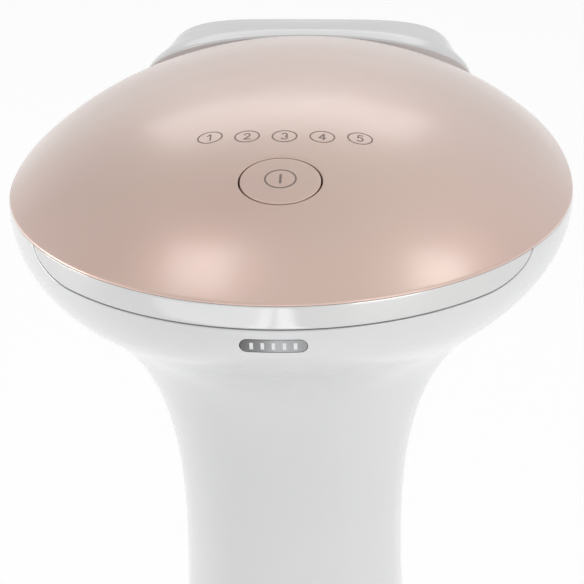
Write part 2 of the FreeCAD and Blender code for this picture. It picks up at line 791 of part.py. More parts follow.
def flash_trigger():
    """Hollow crowned button with a retaining flange and a stem for its switch."""
    half_width_, half_length = dimension("trigger_width") / 2, dimension("trigger_length") / 2
    front = dimension("trigger_front")
    crown = 60.0                # radius of the crowned face
    cap = slot(half_width_, half_length, 5.8, (FLANGE_REAR, front + 3), TRIGGER_Z)
    ball = place(bind(doc.addObject("Part::Sphere", "crown"), Radius=crown), 0, front - crown, TRIGGER_Z)
    crowned = common(cap, ball)
    doc.recompute()
    face_edges = [(n, 1.0, 1.0) for n, edge in enumerate(crowned.Shape.Edges, start=1)
                  if edge.BoundBox.YMin > float(front) - 4.0]
    softened = doc.addObject("Part::Fillet", "softened")
    softened.Base = crowned
    softened.Edges = face_edges
    flange = slot(half_width_ + 1.2, half_length + 1.2, 6.8, (FLANGE_REAR, FLANGE_REAR + 1.3), TRIGGER_Z)
    hollow = slot(half_width_ - 1.5, half_length - 1.5, 4.3, (0, front - 3.2), TRIGGER_Z)
    stem = rod(2.0, 0, 10.7, TRIGGER_Z + 3, "+Y", front - 12.7)
    keep(fuse(cut(fuse(softened, flange), hollow), stem), "flash_trigger")


TRIGGER_BOARD_Y = 1.4


def trigger_switch():
    front = TRIGGER_BOARD_Y + dimension("board_thick")
    keep(place(board_body(9.0, 10.0, dimension("board_thick")), 0, TRIGGER_BOARD_Y, TRIGGER_Z - 1, "+Y"),
         "trigger_board")
    keep(place(board_body(6.2, 4.6, 5.4), 0, front, TRIGGER_Z + 2.4, "+Y"), "trigger_switch")


def trigger_spring():
    """Return spring between the trigger and its board."""
    wire, coil, turns = 0.35, 2.2, 6
    start = TRIGGER_BOARD_Y + float(dimension("board_thick")) + 0.1
    length = float(dimension("trigger_front")) - 3.2 - start - 0.1
    helix = doc.addObject("Part::Helix", "spring_path")
    bind(helix, Pitch=(length - 2 * wire) / turns, Height=length - 2 * wire, Radius=coil)
    profile = doc.addObject("Part::Circle", "spring_wire")
    profile.Radius = wire
    profile.Placement = FreeCAD.Placement(Vector(coil, 0, 0), TURNS["+Y"])
    sweep = doc.addObject("Part::Sweep", "spring")
    sweep.Sections = [profile]
    helix.recompute()
    sweep.Spine = (helix, [f"Edge{n}" for n in range(1, len(helix.Shape.Edges) + 1)])
    sweep.Solid = True
    sweep.Frenet = True
    keep(place(sweep, 0, start + wire, TRIGGER_Z - 7.0, "+Y"), "trigger_spring")


# ---------------------------------------------------------------- grip contents
def main_board():
    low, high = 20.0, 116.0
    board = place(board_body(10.5, (high - low) / 2, dimension("board_thick")), 0, BOARD_REAR,
                  (low + high) / 2, "+Y")
    holes = [rod(1.1, 0, -30, z, "+Y", 40) for z in BOARD_SCREWS]
    keep(cut(board, *holes), "main_board")
    screws = [screw(0, BOARD_FRONT, z, "-Y", 6.4) for z in BOARD_SCREWS]
    keep(group(screws), "main_board_screws")


def power_parts():
    radius, y = dimension("capacitor_radius"), dimension("capacitor_pos")
    low = 33.0
    can = round_body(radius, dimension("capacitor_length"))
    chamfered(can, 0.8, lambda edge: edge.Closed)
    keep(place(can, 0, y, low), "flash_capacitor")
    keep(place(round_body(radius + 0.9, 8.0, bore=radius + 0.05), 0, y, low + 25), "capacitor_clamp")
    core = box((-8.5, 8.5), (BOARD_FRONT, BOARD_FRONT + 8), (100, 114))
    keep(rounded(core, 0.8, ALONG_Y), "charging_transformer")
    keep(place(round_body(4.2, 14.0), 0, -1.5, 122), "ignition_coil")


def charging_socket():
    """Round socket, open at the foot."""
    body = round_body(dimension("socket_radius"), dimension("socket_depth") + 2.6)
    mouth = sketch_on(body)
    centred_circle(mouth, dimension("socket_bore"))
    pocket(body, mouth, dimension("socket_depth"))
    keep(place(body, 0, 0, 0.4), "charging_socket")


# ---------------------------------------------------------------- clip-on attachment
def face_outline(y, side, top, bottom, power, centre):
    turns = [2 * math.pi * i / OUTLINE_POINTS for i in range(OUTLINE_POINTS)]
    points = [outline_point(turn, side, bottom, top, power) for turn in turns]
    return closed_curve([Vector(x, y, centre + up) for x, up in points])


def attachment():
    rear = FACE + 0.2
    front = FACE + dimension("attachment_depth")
    # share of the depth, half width, reach up, reach down, squareness, centre's shift from the rim plane
    stations = [(0.0, 26.9, 7.6, 23.2, 2.15, 0.0), (0.22, 26.6, 8.3, 22.6, 2.3, -0.4),
                (0.55, 25.4, 10.4, 20.2, 3.0, -2.8), (0.86, 24.2, 12.6, 17.6, 4.3, -5.6),
                (0.965, 23.9, 13.0, 16.9, 4.7, -6.3), (1.0, 23.1, 12.3, 16.1, 4.7, -6.5)]
    wires = [face_outline(float(rear + share * (front - rear)), side, top, bottom, power, float(RIM) + shift)
             for share, side, top, bottom, power, shift in stations]
    blank = freeform(Part.makeLoft(wires, True, False))
    half_x, half_z = dimension("contact_frame_width") / 2, dimension("contact_frame_height") / 2
    stop = FACE + 1.9
    radius = dimension("magnet_radius")
    holes = at_magnets(radius + 0.05, 0, "+Y", rear + 1.6)
    holes += [slot(18.6, 7.2, 3.0, (0, 100)), slot(half_x + 0.2, half_z + 0.2, 4.7, (stop, 100)),
              rod(SENSOR_RADIUS + 0.4, 0, 0, SENSOR_Z, "+Y", 100)]
    keep(cut(blank, *holes), "attachment_shell")
    keep(group(at_magnets(radius, rear, "+Y", 1.5)), "attachment_magnets")
    proud = front + dimension("contact_frame_proud")
    frame = cut(slot(half_x, half_z, 4.5, (FACE + 3.0, proud)),
                slot(dimension("aperture_width") / 2, dimension("aperture_height") / 2, 2.6, (0, 100)))
    doc.recompute()
    lip = doc.addObject("Part::Fillet", "lip")
    lip.Base = frame
    lip.Edges = [(n, 0.5, 0.5) for n, edge in enumerate(frame.Shape.Edges, start=1)
                 if edge.BoundBox.YMin > float(proud) - 0.01]
    keep(lip, "skin_contact_frame")


def build():
    top_cover()
    power_button()
    control_board()
    level_lights()
    rear_band()
    ready_light()
    rear_shell()
    front_shell()
    foot_cap()
    front_bezel()
    light_window()
    reflector()
    flash_tube()
    lamp_housing()
    heat_sink()
    fan_frame()
    fan_rotor()
    fan_screws()
    engine_tray()
    flash_trigger()
    trigger_switch()
    trigger_spring()
    main_board()
    power_parts()
    charging_socket()
    attachment()


def check():
    """Stops if any object failed to compute or any piece has no valid solid."""
    for obj in doc.Objects:
        if "Invalid" in obj.State or "Error" in obj.State:
            raise RuntimeError(f"{obj.Label} failed to compute: {obj.State}")
    for obj in SUBPARTS:
        if obj.Shape.isNull() or not obj.Shape.isValid() or not obj.Shape.Solids:
            raise RuntimeError(f"{obj.Label} has no valid solid")


def write_parts():
    os.makedirs("parts", exist_ok=True)
    for old in os.listdir("parts"):
        os.remove(os.path.join("parts", old))
    for obj in SUBPARTS:
        obj.Shape.exportStep(os.path.join("parts", f"{obj.Label}.step"))
        print(f"{obj.Label:24s} solids {len(obj.Shape.Solids)} volume {obj.Shape.Volume:9.1f}")


build()
doc.recompute()
check()
write_parts()
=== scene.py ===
"""Looks of the IPL hair remover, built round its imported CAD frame.

Forms are worked out in millimetres, in the frame of the CAD model, and scaled to metres as each
mesh is made.
"""

import json
import math

import bmesh
import bpy
from mathutils import Matrix, Vector


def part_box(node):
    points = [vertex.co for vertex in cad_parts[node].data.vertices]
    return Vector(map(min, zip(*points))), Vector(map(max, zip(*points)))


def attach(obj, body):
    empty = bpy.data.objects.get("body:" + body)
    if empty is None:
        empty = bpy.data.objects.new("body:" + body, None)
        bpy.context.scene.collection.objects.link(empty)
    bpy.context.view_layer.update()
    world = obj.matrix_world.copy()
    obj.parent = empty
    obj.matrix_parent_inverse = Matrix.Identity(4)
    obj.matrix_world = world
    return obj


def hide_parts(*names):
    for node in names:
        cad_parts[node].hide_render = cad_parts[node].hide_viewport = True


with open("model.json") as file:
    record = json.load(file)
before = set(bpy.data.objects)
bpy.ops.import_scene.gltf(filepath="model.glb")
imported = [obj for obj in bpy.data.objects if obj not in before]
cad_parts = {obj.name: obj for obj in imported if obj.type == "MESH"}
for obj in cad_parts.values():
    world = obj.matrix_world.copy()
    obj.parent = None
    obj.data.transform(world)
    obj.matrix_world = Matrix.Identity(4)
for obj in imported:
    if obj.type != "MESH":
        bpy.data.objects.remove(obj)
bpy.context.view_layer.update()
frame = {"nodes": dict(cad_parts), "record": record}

MM = 0.001


def box_mm(node):
    low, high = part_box(node)
    return low / MM, high / MM


# ---------------------------------------------------------------- sizes, from the frame where it has them
COVER_LOW, COVER_HIGH = box_mm("top_cover")
ATTACH_LOW, ATTACH_HIGH = box_mm("attachment_shell")
RIM = 165.0                     # plane where the cover meets the white body
HALF_WIDTH = COVER_HIGH.x
REAR = -COVER_LOW.y
FRONT_TIP = 71.5                # virtual tip of the plan outline, ahead of the flat face
FACE = COVER_HIGH.y
DOME_RISE = 15.0
COVER_EDGE = 0.3
WALL = 2.0
GAP = 0.15
RIM_GAP = 0.04                  # shut line under the cover, drawn tighter than the others
SEAM_Y = 2.0
FOOT_TOP = 9.0
BAND_HEIGHT = 3.5
BAND_HALF = 36.1
BAND_CORNER = 6.0
BUTTON_Y = -30.5
BUTTON_RADIUS = 5.85
BUTTON_GAP = 0.25
LEVEL_Y, LEVEL_PITCH, LEVEL_BOW = -18.1, 5.5, 0.26
READY_DROP, READY_WIDTH, READY_HEIGHT = 6.15, 9.5, 2.1
WINDOW_Z = RIM - 7.5


# ---------------------------------------------------------------- form of the body, as in the CAD model
# A drop is a distance below the rim plane.
def fall(drop, half, power):
    """1 at the rim, a half at one drop, and towards 0 below it."""
    return 1.0 / (1.0 + (max(drop, 0.0) / half) ** power)


def ease(value, start, end):
    """0 up to a start, 1 from an end on, and a smooth rise between."""
    share = min(1.0, max(0.0, (value - start) / (end - start)))
    return share * share * (3 - 2 * share)


def half_width(drop):
    neck = 13.4 + 7.6 * ease(drop, 22.0, 150.0)
    return neck + (HALF_WIDTH - neck) * fall(drop, 19.7, 2.53)


def rear_reach(drop):
    grip = 18.0 + 2.6 * ease(drop, 60.0, 150.0)
    return grip + (REAR - grip) * fall(drop, 17.1, 4.0)


def front_reach(drop):
    grip = 18.6 + 2.0 * ease(drop, 60.0, 150.0)
    return grip + (FRONT_TIP - grip) * fall(drop, 27.0, 6.0)


def squareness(drop):
    """Power of the outline's superellipse: 2 is an ellipse, and the grip is squarer."""
    return 2.0 + 0.7 * (1.0 - fall(drop, 19.7, 2.5))


def foot_inset(height, radius=4.0):
    if height >= radius:
        return 0.0
    return radius - math.sqrt(max(0.0, radius ** 2 - (radius - height) ** 2))


def signed_power(value, power):
    return math.copysign(abs(value) ** power, value)


def body_point(angle, height, inset=0.0):
    """Point of the body's outline at a height. Angle 0 is the rear and pi the front."""
    drop = RIM - height
    inset += foot_inset(height)
    power = 2 / squareness(drop)
    reach = rear_reach(drop) if math.cos(angle) > 0 else front_reach(drop)
    x = (half_width(drop) - inset) * signed_power(math.sin(angle), power)
    y = -(reach - inset) * signed_power(math.cos(angle), power)
    return Vector((x, y, height))


def seam_angle(height, y):
    """Angle past the side at which the outline crosses a plane just ahead of the middle."""
    drop = RIM - height
    share = y / front_reach(drop)
    return math.pi / 2 + math.asin(share ** (squareness(drop) / 2))


def dome_height(x, y):
    """Height of the cover's outer surface."""
    rear_share, front_share = REAR ** -2, FRONT_TIP ** -2
    share = front_share + (rear_share - front_share) / (1 + math.exp(y / 8.0))
    spread = (x / HALF_WIDTH) ** 2 + y * y * share
    steep = 0.22
    return RIM + COVER_EDGE + (DOME_RISE - COVER_EDGE) * (1 - (1 - steep) * spread - steep * spread ** 3)


# ---------------------------------------------------------------- mesh helpers
SHARP_ANGLE = math.radians(38)


def link(obj):
    bpy.context.scene.collection.objects.link(obj)
    return obj


def mark_sharp(mesh, angle=SHARP_ANGLE):
    """Smooth shading, split along edges that turn by more than an angle."""
    bm = bmesh.new()
    bm.from_mesh(mesh)
    bmesh.ops.recalc_face_normals(bm, faces=bm.faces)
    for face in bm.faces:
        face.smooth = True
    for edge in bm.edges:
        edge.smooth = len(edge.link_faces) == 2 and edge.calc_face_angle(0) < angle
    bm.to_mesh(mesh)
    bm.free()


def mesh_object(name, points, faces):
    mesh = bpy.data.meshes.new(name)
    mesh.from_pydata([Vector(p) * MM for p in points], [], faces)
    mesh.update()
    return link(bpy.data.objects.new(name, mesh))


def finish_piece(obj, material, body, slot, *nodes):
    """Material and shading of a piece, which goes under its body and takes the place of the CAD nodes it
    names.
    """
    mark_sharp(obj.data)
    obj.data.materials.clear()
    obj.data.materials.append(material)
    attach(obj, body)
    if nodes:
        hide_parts(*nodes)
    return obj


def apply_modifiers(obj):
    depsgraph = bpy.context.evaluated_depsgraph_get()
    mesh = bpy.data.meshes.new_from_object(obj.evaluated_get(depsgraph))
    obj.modifiers.clear()
    old, obj.data = obj.data, mesh
    bpy.data.meshes.remove(old)
    return obj


def carve(obj, *cutters):
    """Takes the cutters out of a piece and removes them."""
    for cutter in cutters:
        modifier = obj.modifiers.new("carve", "BOOLEAN")
        modifier.operation = "DIFFERENCE"
        modifier.solver = "EXACT"
        modifier.object = cutter
    apply_modifiers(obj)
    for cutter in cutters:
        bpy.data.objects.remove(cutter)
    return obj


def ring_strip(rings, close=True):
    """Points and faces of a run of equal rings; close joins the last ring to the first."""
    count = len(rings[0])
    points = [p for ring in rings for p in ring]
    faces = []
    spans = len(rings) if close else len(rings) - 1
    for k in range(spans):
        a, b = k * count, ((k + 1) % len(rings)) * count
        for i in range(count):
            j = (i + 1) % count
            faces.append((a + i, a + j, b + j, b + i))
    return points, faces


def disc_faces(rings):
    """Run of rings with a fan of triangles in the first and last."""
    points, faces = ring_strip(rings, close=False)
    count = len(rings[0])
    for start, ring in ((0, rings[0]), ((len(rings) - 1) * count, rings[-1])):
        centre = sum((Vector(p) for p in ring), Vector()) / count
        points.append(centre)
        for i in range(count):
            faces.append((start + i, start + (i + 1) % count, len(points) - 1))
    return points, faces


def walled_sheet(outer, inner):
    """Closed thin wall between two equal grids of rows, joined along all four sides."""
    rows, columns = len(outer), len(outer[0])
    points = [p for row in outer for p in row] + [p for row in inner for p in row]
    offset = rows * columns
    faces = []
    for r in range(rows - 1):
        for c in range(columns - 1):
            a = r * columns + c
            quad = (a, a + 1, a + columns + 1, a + columns)
            faces.append(quad)
            faces.append(tuple(offset + i for i in reversed(quad)))
    edge = [(0, c) for c in range(columns)] + [(r, columns - 1) for r in range(1, rows)]
    edge += [(rows - 1, c) for c in range(columns - 2, -1, -1)] + [(r, 0) for r in range(rows - 2, 0, -1)]
    for (r0, c0), (r1, c1) in zip(edge, edge[1:] + edge[:1]):
        a, b = r0 * columns + c0, r1 * columns + c1
        faces.append((b, a, offset + a, offset + b))
    return points, faces


def spaced(start, end, count):
    return [start + (end - start) * i / (count - 1) for i in range(count)]


def full_turn(count):
    """Angles once round, without the last, which is the first again."""
    return [2 * math.pi * i / count for i in range(count)]


def bevel_between(a, corner, b, steps=5):
    """Rounded turn from a to b that heads for a corner point."""
    turned = []
    for i in range(steps):
        t = i / (steps - 1)
        turned.append((1 - t) ** 2 * a + 2 * t * (1 - t) * corner + t * t * b)
    return turned


def slot_outline(half_x, half_z, corner, count, y, centre_z, angles=None):
    """Rounded rectangle in the XZ plane, one point per ray from its centre."""
    outline = []
    angles = angles or full_turn(count)
    for angle in angles:
        dx, dz = math.cos(angle), math.sin(angle)
        low, high = 0.0, half_x + half_z
        for _ in range(40):
            middle = (low + high) / 2
            qx = max(abs(middle * dx) - half_x + corner, 0)
            qz = max(abs(middle * dz) - half_z + corner, 0)
            in_box = abs(middle * dx) <= half_x and abs(middle * dz) <= half_z
            inside = in_box and math.hypot(qx, qz) <= corner
            low, high = (middle, high) if inside else (low, middle)
        outline.append(Vector((low * dx, y, centre_z + low * dz)))
    return outline


def prism_cutter(name, outlines):
    """Closed solid through a run of equal outlines."""
    return mesh_object(name, *disc_faces(outlines))


# ---------------------------------------------------------------- shader helpers
def new_material(name, color, roughness, metallic=0.0, **sockets):
    material = bpy.data.materials.new(name)
    material.use_nodes = True
    shader = material.node_tree.nodes["Principled BSDF"]
    shader.inputs["Base Color"].default_value = (*color, 1)
    shader.inputs["Roughness"].default_value = roughness
    shader.inputs["Metallic"].default_value = metallic
    for socket, value in sockets.items():
        shader.inputs[socket.replace("_", " ")].default_value = value
    return material


def node(material, kind, **values):
    made = material.node_tree.nodes.new(kind)
    for name, value in values.items():
        if name in made.inputs:
            made.inputs[name].default_value = value
        else:
            setattr(made, name, value)
    return made


def wire(material, source, output, target, socket):
    material.node_tree.links.new(source.outputs[output], target.inputs[socket])


def noise(material, scale, detail=3.0, roughness=0.5):
    """Noise in the piece's own coordinates, with scale in cycles per metre."""
    place = node(material, "ShaderNodeTexCoord")
    texture = node(material, "ShaderNodeTexNoise", Scale=scale, Detail=detail, Roughness=roughness)
    wire(material, place, "Object", texture, "Vector")
    return texture


def vary_color(material, scale, colors, detail=2.0, spread=(0.35, 0.65)):
    """Base colour that drifts between colours over the piece."""
    texture = noise(material, scale, detail)
    ramp = node(material, "ShaderNodeValToRGB")
    elements = ramp.color_ramp.elements
    while len(elements) < len(colors):
        elements.new(0.5)
    positions = spaced(spread[0], spread[1], len(colors))
    for element, position, color in zip(elements, positions, colors):
        element.position = position
        element.color = (*color, 1)
    wire(material, texture, "Fac", ramp, "Fac")
    wire(material, ramp, "Color", material.node_tree.nodes["Principled BSDF"], "Base Color")


def vary_roughness(material, scale, low, high, detail=4.0):
    texture = noise(material, scale, detail)
    spread = node(material, "ShaderNodeMapRange")
    spread.inputs["From Min"].default_value = 0.3
    spread.inputs["From Max"].default_value = 0.7
    spread.inputs["To Min"].default_value = low
    spread.inputs["To Max"].default_value = high
    wire(material, texture, "Fac", spread, "Value")
    wire(material, spread, "Result", material.node_tree.nodes["Principled BSDF"], "Roughness")


def add_bump(material, scale, distance, strength=1.0, detail=3.0):
    texture = noise(material, scale, detail)
    bump = node(material, "ShaderNodeBump", Strength=strength, Distance=distance)
    wire(material, texture, "Fac", bump, "Height")
    wire(material, bump, "Normal", material.node_tree.nodes["Principled BSDF"], "Normal")


def plastic(name, color, roughness, grain, depth, shade=0.94, **sockets):
    """Moulded plastic: faint tone drift, uneven gloss and a fine surface grain."""
    material = new_material(name, color, roughness, **sockets)
    vary_color(material, 60, [tuple(c * shade for c in color), color])
    vary_roughness(material, 300, roughness * 0.85, roughness * 1.15)
    add_bump(material, grain, depth)
    return material


def metal(name, color, roughness, grain, depth, shade=0.88):
    material = new_material(name, color, roughness, metallic=1.0)
    vary_color(material, 90, [tuple(c * shade for c in color), color])
    vary_roughness(material, 500, roughness * 0.75, roughness * 1.25)
    add_bump(material, grain, depth)
    return material


# ---------------------------------------------------------------- materials
def rose_gold():
    """Satin metallic lacquer, peach to taupe, under a clear coat."""
    tones = [(0.67, 0.475, 0.405), (0.69, 0.50, 0.43), (0.70, 0.52, 0.44)]
    material = new_material("rose_gold", (0.66, 0.47, 0.40), 0.42, metallic=0.55,
                            Coat_Weight=1.0, Coat_Roughness=0.2, Coat_IOR=1.6)
    vary_color(material, 28, tones, detail=1.5)
    vary_roughness(material, 160, 0.40, 0.45)
    add_bump(material, 9000, 0.000004, 0.6, detail=1.0)
    return material


def silver_trim():
    material = new_material("silver_trim", (0.70, 0.70, 0.69), 0.14, metallic=0.55,
                            Coat_Weight=0.5, Coat_Roughness=0.08)
    vary_color(material, 40, [(0.64, 0.645, 0.645), (0.675, 0.675, 0.668)])
    vary_roughness(material, 400, 0.12, 0.16)
    add_bump(material, 7000, 0.000003, 0.5)
    return material


def white_shell():
    material = new_material("white_shell", (0.71, 0.71, 0.72), 0.20,
                            Coat_Weight=0.3, Coat_Roughness=0.06, IOR=1.5)
    vary_color(material, 22, [(0.650, 0.652, 0.659), (0.680, 0.680, 0.685)])
    vary_roughness(material, 260, 0.17, 0.24)
    add_bump(material, 2600, 0.000004, 0.5)
    return material


def smoked_lens():
    """Grey light pipe with painted light on it: its tone runs from painted shade at its left end to a
    painted highlight right of the middle.
    """
    material = new_material("smoked_lens", (0.22, 0.23, 0.24), 0.16, Coat_Weight=0.8, Coat_Roughness=0.03)
    place = node(material, "ShaderNodeTexCoord")
    ramp = node(material, "ShaderNodeValToRGB")
    # painted shade and highlight across the lens: darkest at the left end, brightest right of the middle
    painted_light_stops = [(0.0, 0.065), (0.30, 0.20), (0.55, 0.42), (0.78, 0.36), (1.0, 0.26)]
    elements = ramp.color_ramp.elements
    while len(elements) < len(painted_light_stops):
        elements.new(0.5)
    for element, (position, tone) in zip(elements, painted_light_stops):
        element.position = position
        element.color = (tone, tone * 1.02, tone * 1.04, 1)
    split = node(material, "ShaderNodeSeparateXYZ")
    span = node(material, "ShaderNodeMapRange")
    span.inputs["From Min"].default_value = -READY_WIDTH / 2 * MM
    span.inputs["From Max"].default_value = READY_WIDTH / 2 * MM
    wire(material, place, "Object", split, "Vector")
    wire(material, split, "X", span, "Value")
    wire(material, span, "Result", ramp, "Fac")
    wire(material, ramp, "Color", material.node_tree.nodes["Principled BSDF"], "Base Color")
    add_bump(material, 1500, 0.000003, 0.4)
    return material


def printed_mark(name, color):
    material = new_material(name, color, 0.5, metallic=0.3)
    vary_color(material, 2500, [tuple(c * 0.82 for c in color), color])
    add_bump(material, 9000, 0.000003, 0.5)
    return material


def circuit_board():
    """Green solder mask with a fine tracery of tracks."""
    material = new_material("circuit_board", (0.03, 0.20, 0.09), 0.35, Coat_Weight=0.4, Coat_Roughness=0.15)
    place = node(material, "ShaderNodeTexCoord")
    cells = node(material, "ShaderNodeTexVoronoi", Scale=420.0, feature="DISTANCE_TO_EDGE")
    ramp = node(material, "ShaderNodeValToRGB")
    ramp.color_ramp.elements[0].position = 0.04
    ramp.color_ramp.elements[0].color = (0.10, 0.34, 0.14, 1)
    ramp.color_ramp.elements[1].position = 0.08
    ramp.color_ramp.elements[1].color = (0.02, 0.16, 0.07, 1)
    wire(material, place, "Object", cells, "Vector")
    wire(material, cells, "Distance", ramp, "Fac")
    wire(material, ramp, "Color", material.node_tree.nodes["Principled BSDF"], "Base Color")
    add_bump(material, 3000, 0.00001, 0.4)
    return material


def filter_glass():
    material = new_material("filter_glass", (0.98, 0.62, 0.42), 0.05,
                            Transmission_Weight=0.85, IOR=1.5, Coat_Weight=0.5)
    vary_color(material, 50, [(0.95, 0.55, 0.36), (1.0, 0.68, 0.48)])
    add_bump(material, 800, 0.000002, 0.3)
    return material


def tube_glass():
    material = new_material("tube_glass", (0.95, 0.97, 1.0), 0.02, Transmission_Weight=0.95, IOR=1.46)
    vary_color(material, 120, [(0.90, 0.93, 0.97), (0.97, 0.98, 1.0)])
    add_bump(material, 600, 0.000003, 0.3)
    return material


def soft_light(name, color):
    material = new_material(name, color, 0.3, Subsurface_Weight=0.4, Subsurface_Scale=0.002)
    vary_color(material, 500, [tuple(c * 0.9 for c in color), color])
    add_bump(material, 3000, 0.000005, 0.4)
    return material


MATERIALS = {
    "rose_gold": rose_gold(),
    "silver_trim": silver_trim(),
    "white_shell": white_shell(),
    "smoked_lens": smoked_lens(),
    "dark_plastic": plastic("dark_plastic", (0.045, 0.045, 0.048), 0.42, 5000, 0.00002, shade=0.8),
    "magnet": metal("magnet", (0.62, 0.62, 0.63), 0.25, 3000, 0.000004),
    "gold_contact": metal("gold_contact", (0.85, 0.62, 0.26), 0.22, 4000, 0.000003),
    "circuit_board": circuit_board(),
    "filter_glass": filter_glass(),
    "polished_aluminium": metal("polished_aluminium", (0.90, 0.90, 0.91), 0.10, 2500, 0.000002, shade=0.95),
    "tube_glass": tube_glass(),
    "steel": metal("steel", (0.58, 0.58, 0.58), 0.32, 3500, 0.000006),
    "ceramic": plastic("ceramic", (0.86, 0.84, 0.79), 0.65, 2200, 0.00002),
    "raw_aluminium": metal("raw_aluminium", (0.66, 0.66, 0.67), 0.38, 1800, 0.00001),
    "clear_plastic": soft_light("clear_plastic", (0.86, 0.88, 0.90)),
    "led_white": soft_light("led_white", (0.93, 0.90, 0.72)),
    "capacitor_sleeve": plastic("capacitor_sleeve", (0.035, 0.04, 0.09), 0.30, 1500, 0.00002, shade=0.75),
    "ferrite": plastic("ferrite", (0.075, 0.07, 0.07), 0.60, 4000, 0.00003, shade=0.7),
    "rubber_seal": plastic("rubber_seal", (0.03, 0.03, 0.03), 0.70, 3000, 0.00002, shade=0.8),
}
MARK = printed_mark("engraved_mark", (0.255, 0.20, 0.175))
PALE_MARK = printed_mark("pale_mark", (0.80, 0.81, 0.82))


# ---------------------------------------------------------------- top cover
def plan_outline(count_side=150, count_front=44):
    """Rim outline seen from above: round the rear from end to end of the flat front, then across."""
    corner = math.pi - math.asin(math.sqrt(1 - (FACE / FRONT_TIP) ** 2))
    points = []
    for angle in spaced(-corner, corner, 2 * count_side + 1):
        reach = REAR if math.cos(angle) > 0 else FRONT_TIP
        points.append(Vector((HALF_WIDTH * math.sin(angle), -reach * math.cos(angle), 0)))
    right, left = points[-1], points[0]
    for i in range(1, count_front):
        points.append(right.lerp(left, i / count_front))
    return points


def inward_normals(points):
    normals = []
    for i in range(len(points)):
        along = (points[(i + 1) % len(points)] - points[i - 1]).normalized()
        normals.append(Vector((-along.y, along.x, 0)))
    return normals


BUTTON_SLOPE = math.atan(dome_height(0, BUTTON_Y + 0.5) - dome_height(0, BUTTON_Y - 0.5))
BUTTON_TILT = Matrix.Rotation(BUTTON_SLOPE, 3, "X")
BUTTON_CENTRE = Vector((0, BUTTON_Y, dome_height(0, BUTTON_Y)))
HOLE_LIP = 0.14                 # rounding of the button's edge and of its hole's


def on_button(radius, angle, depth):
    """Point round the button's tilted axis, at a depth under the tangent plane there."""
    spoke = Vector((radius * math.cos(angle), radius * math.sin(angle), -depth))
    return BUTTON_CENTRE + BUTTON_TILT @ spoke


def on_button_dome(radius, angle, depth=0.0):
    """The same, but at a depth under the dome itself."""
    sag = 0.0
    for _ in range(4):
        point = on_button(radius, angle, sag)
        sag += (point.z - dome_height(point.x, point.y)) * math.cos(BUTTON_SLOPE)
    return on_button(radius, angle, sag + depth)


def dome_point(point, lowered=0.0):
    return Vector((point.x, point.y, dome_height(point.x, point.y) - lowered))


def top_cover():
    outline = plan_outline()
    normals = inward_normals(outline)
    hole = BUTTON_RADIUS + BUTTON_GAP
    turns = [math.atan2(p.y - BUTTON_Y, p.x) for p in outline]
    rings = [[on_button_dome(hole, a, depth) for a in turns] for depth in (1.9, HOLE_LIP * 2)]
    for turn in spaced(0.0, math.pi / 2, 5):
        out, sink = HOLE_LIP * (1 - math.cos(turn)), HOLE_LIP * (1 - math.sin(turn))
        rings.append([on_button_dome(hole + out, a, sink) for a in turns])
    start = [on_button_dome(hole + HOLE_LIP, a) for a in turns]
    bevel, turn_down = 0.2, 0.14
    edge = [p + n * bevel for p, n in zip(outline, normals)]
    spans, crowding = 90, 0.12
    for k in range(1, spans + 1):
        share = k / spans
        share += crowding * math.sin(2 * math.pi * share) / (2 * math.pi)
        rings.append([dome_point(s.lerp(e, share)) for s, e in zip(start, edge)])
    turned = []
    for point, rim_point in zip(edge, outline):
        top = dome_point(rim_point)
        turned.append(bevel_between(dome_point(point), top, top - Vector((0, 0, turn_down)), 7)[1:])
    rings += [list(ring) for ring in zip(*turned)]
    for drawn, height in ((0.0, 0.05), (0.015, 0.015), (0.05, 0.0), (WALL, 0.0)):
        raised = Vector((0, 0, RIM + height))
        rings.append([p + n * drawn + raised for p, n in zip(outline, normals)])
    under = [p + n * (WALL + 0.4) for p, n in zip(outline, normals)]
    # The hole's axis leans, so the underside ends further out to stay clear of the button.
    under_start = [on_button_dome(hole + 0.8, a) for a in turns]
    for share in spaced(1.0, 0.0, 24):
        rings.append([dome_point(s.lerp(e, share), WALL) for s, e in zip(under_start, under)])
    cover = mesh_object("top_cover_lacquered", *ring_strip(rings))
    finish_piece(cover, MATERIALS["rose_gold"], "handset", "rose_gold", "top_cover")


BUTTON_DISH = 0.05              # the button's middle lies this much under the dome


def power_button():
    turns = full_turn(160)
    edge = BUTTON_RADIUS - HOLE_LIP
    rings = []
    for radius in spaced(0.25, edge, 26):
        sink = BUTTON_DISH * (1 - (radius / edge) ** 2)
        rings.append([on_button_dome(radius, a, sink) for a in turns])
    for turn in spaced(math.pi / 8, math.pi / 2, 4):
        out, sink = HOLE_LIP * math.sin(turn), HOLE_LIP * (1 - math.cos(turn))
        rings.append([on_button_dome(edge + out, a, sink) for a in turns])
    inside = BUTTON_RADIUS - 1.0
    for radius, depth in ((BUTTON_RADIUS, 2.4), (inside, 2.4), (inside, 1.6), (0.5, 1.6)):
        rings.append([on_button_dome(radius, a, depth) for a in turns])
    button = mesh_object("power_button_cap", *disc_faces(rings))
    finish_piece(button, MATERIALS["rose_gold"], "power_button", "rose_gold", "power_button")


MARK_LIFT, MARK_ROOT = 0.012, 0.02      # a printed mark's reach above and below its surface


def ring_mark(name, centre, radius, width, body, sink=0.0):
    """Thin printed ring that follows the dome."""
    turns = full_turn(96)
    inner, outer = radius - width / 2, radius + width / 2
    rings = []
    for reach, height in ((inner, -MARK_ROOT), (inner, MARK_LIFT), (radius, MARK_LIFT * 1.6),
                          (outer, MARK_LIFT), (outer, -MARK_ROOT)):
        ring = [centre + Vector((reach * math.cos(turn), reach * math.sin(turn), 0)) for turn in turns]
        rings.append([dome_point(point, sink - height) for point in ring])
    mark = mesh_object(name, *ring_strip(rings))
    finish_piece(mark, MARK, body, "rose_gold")


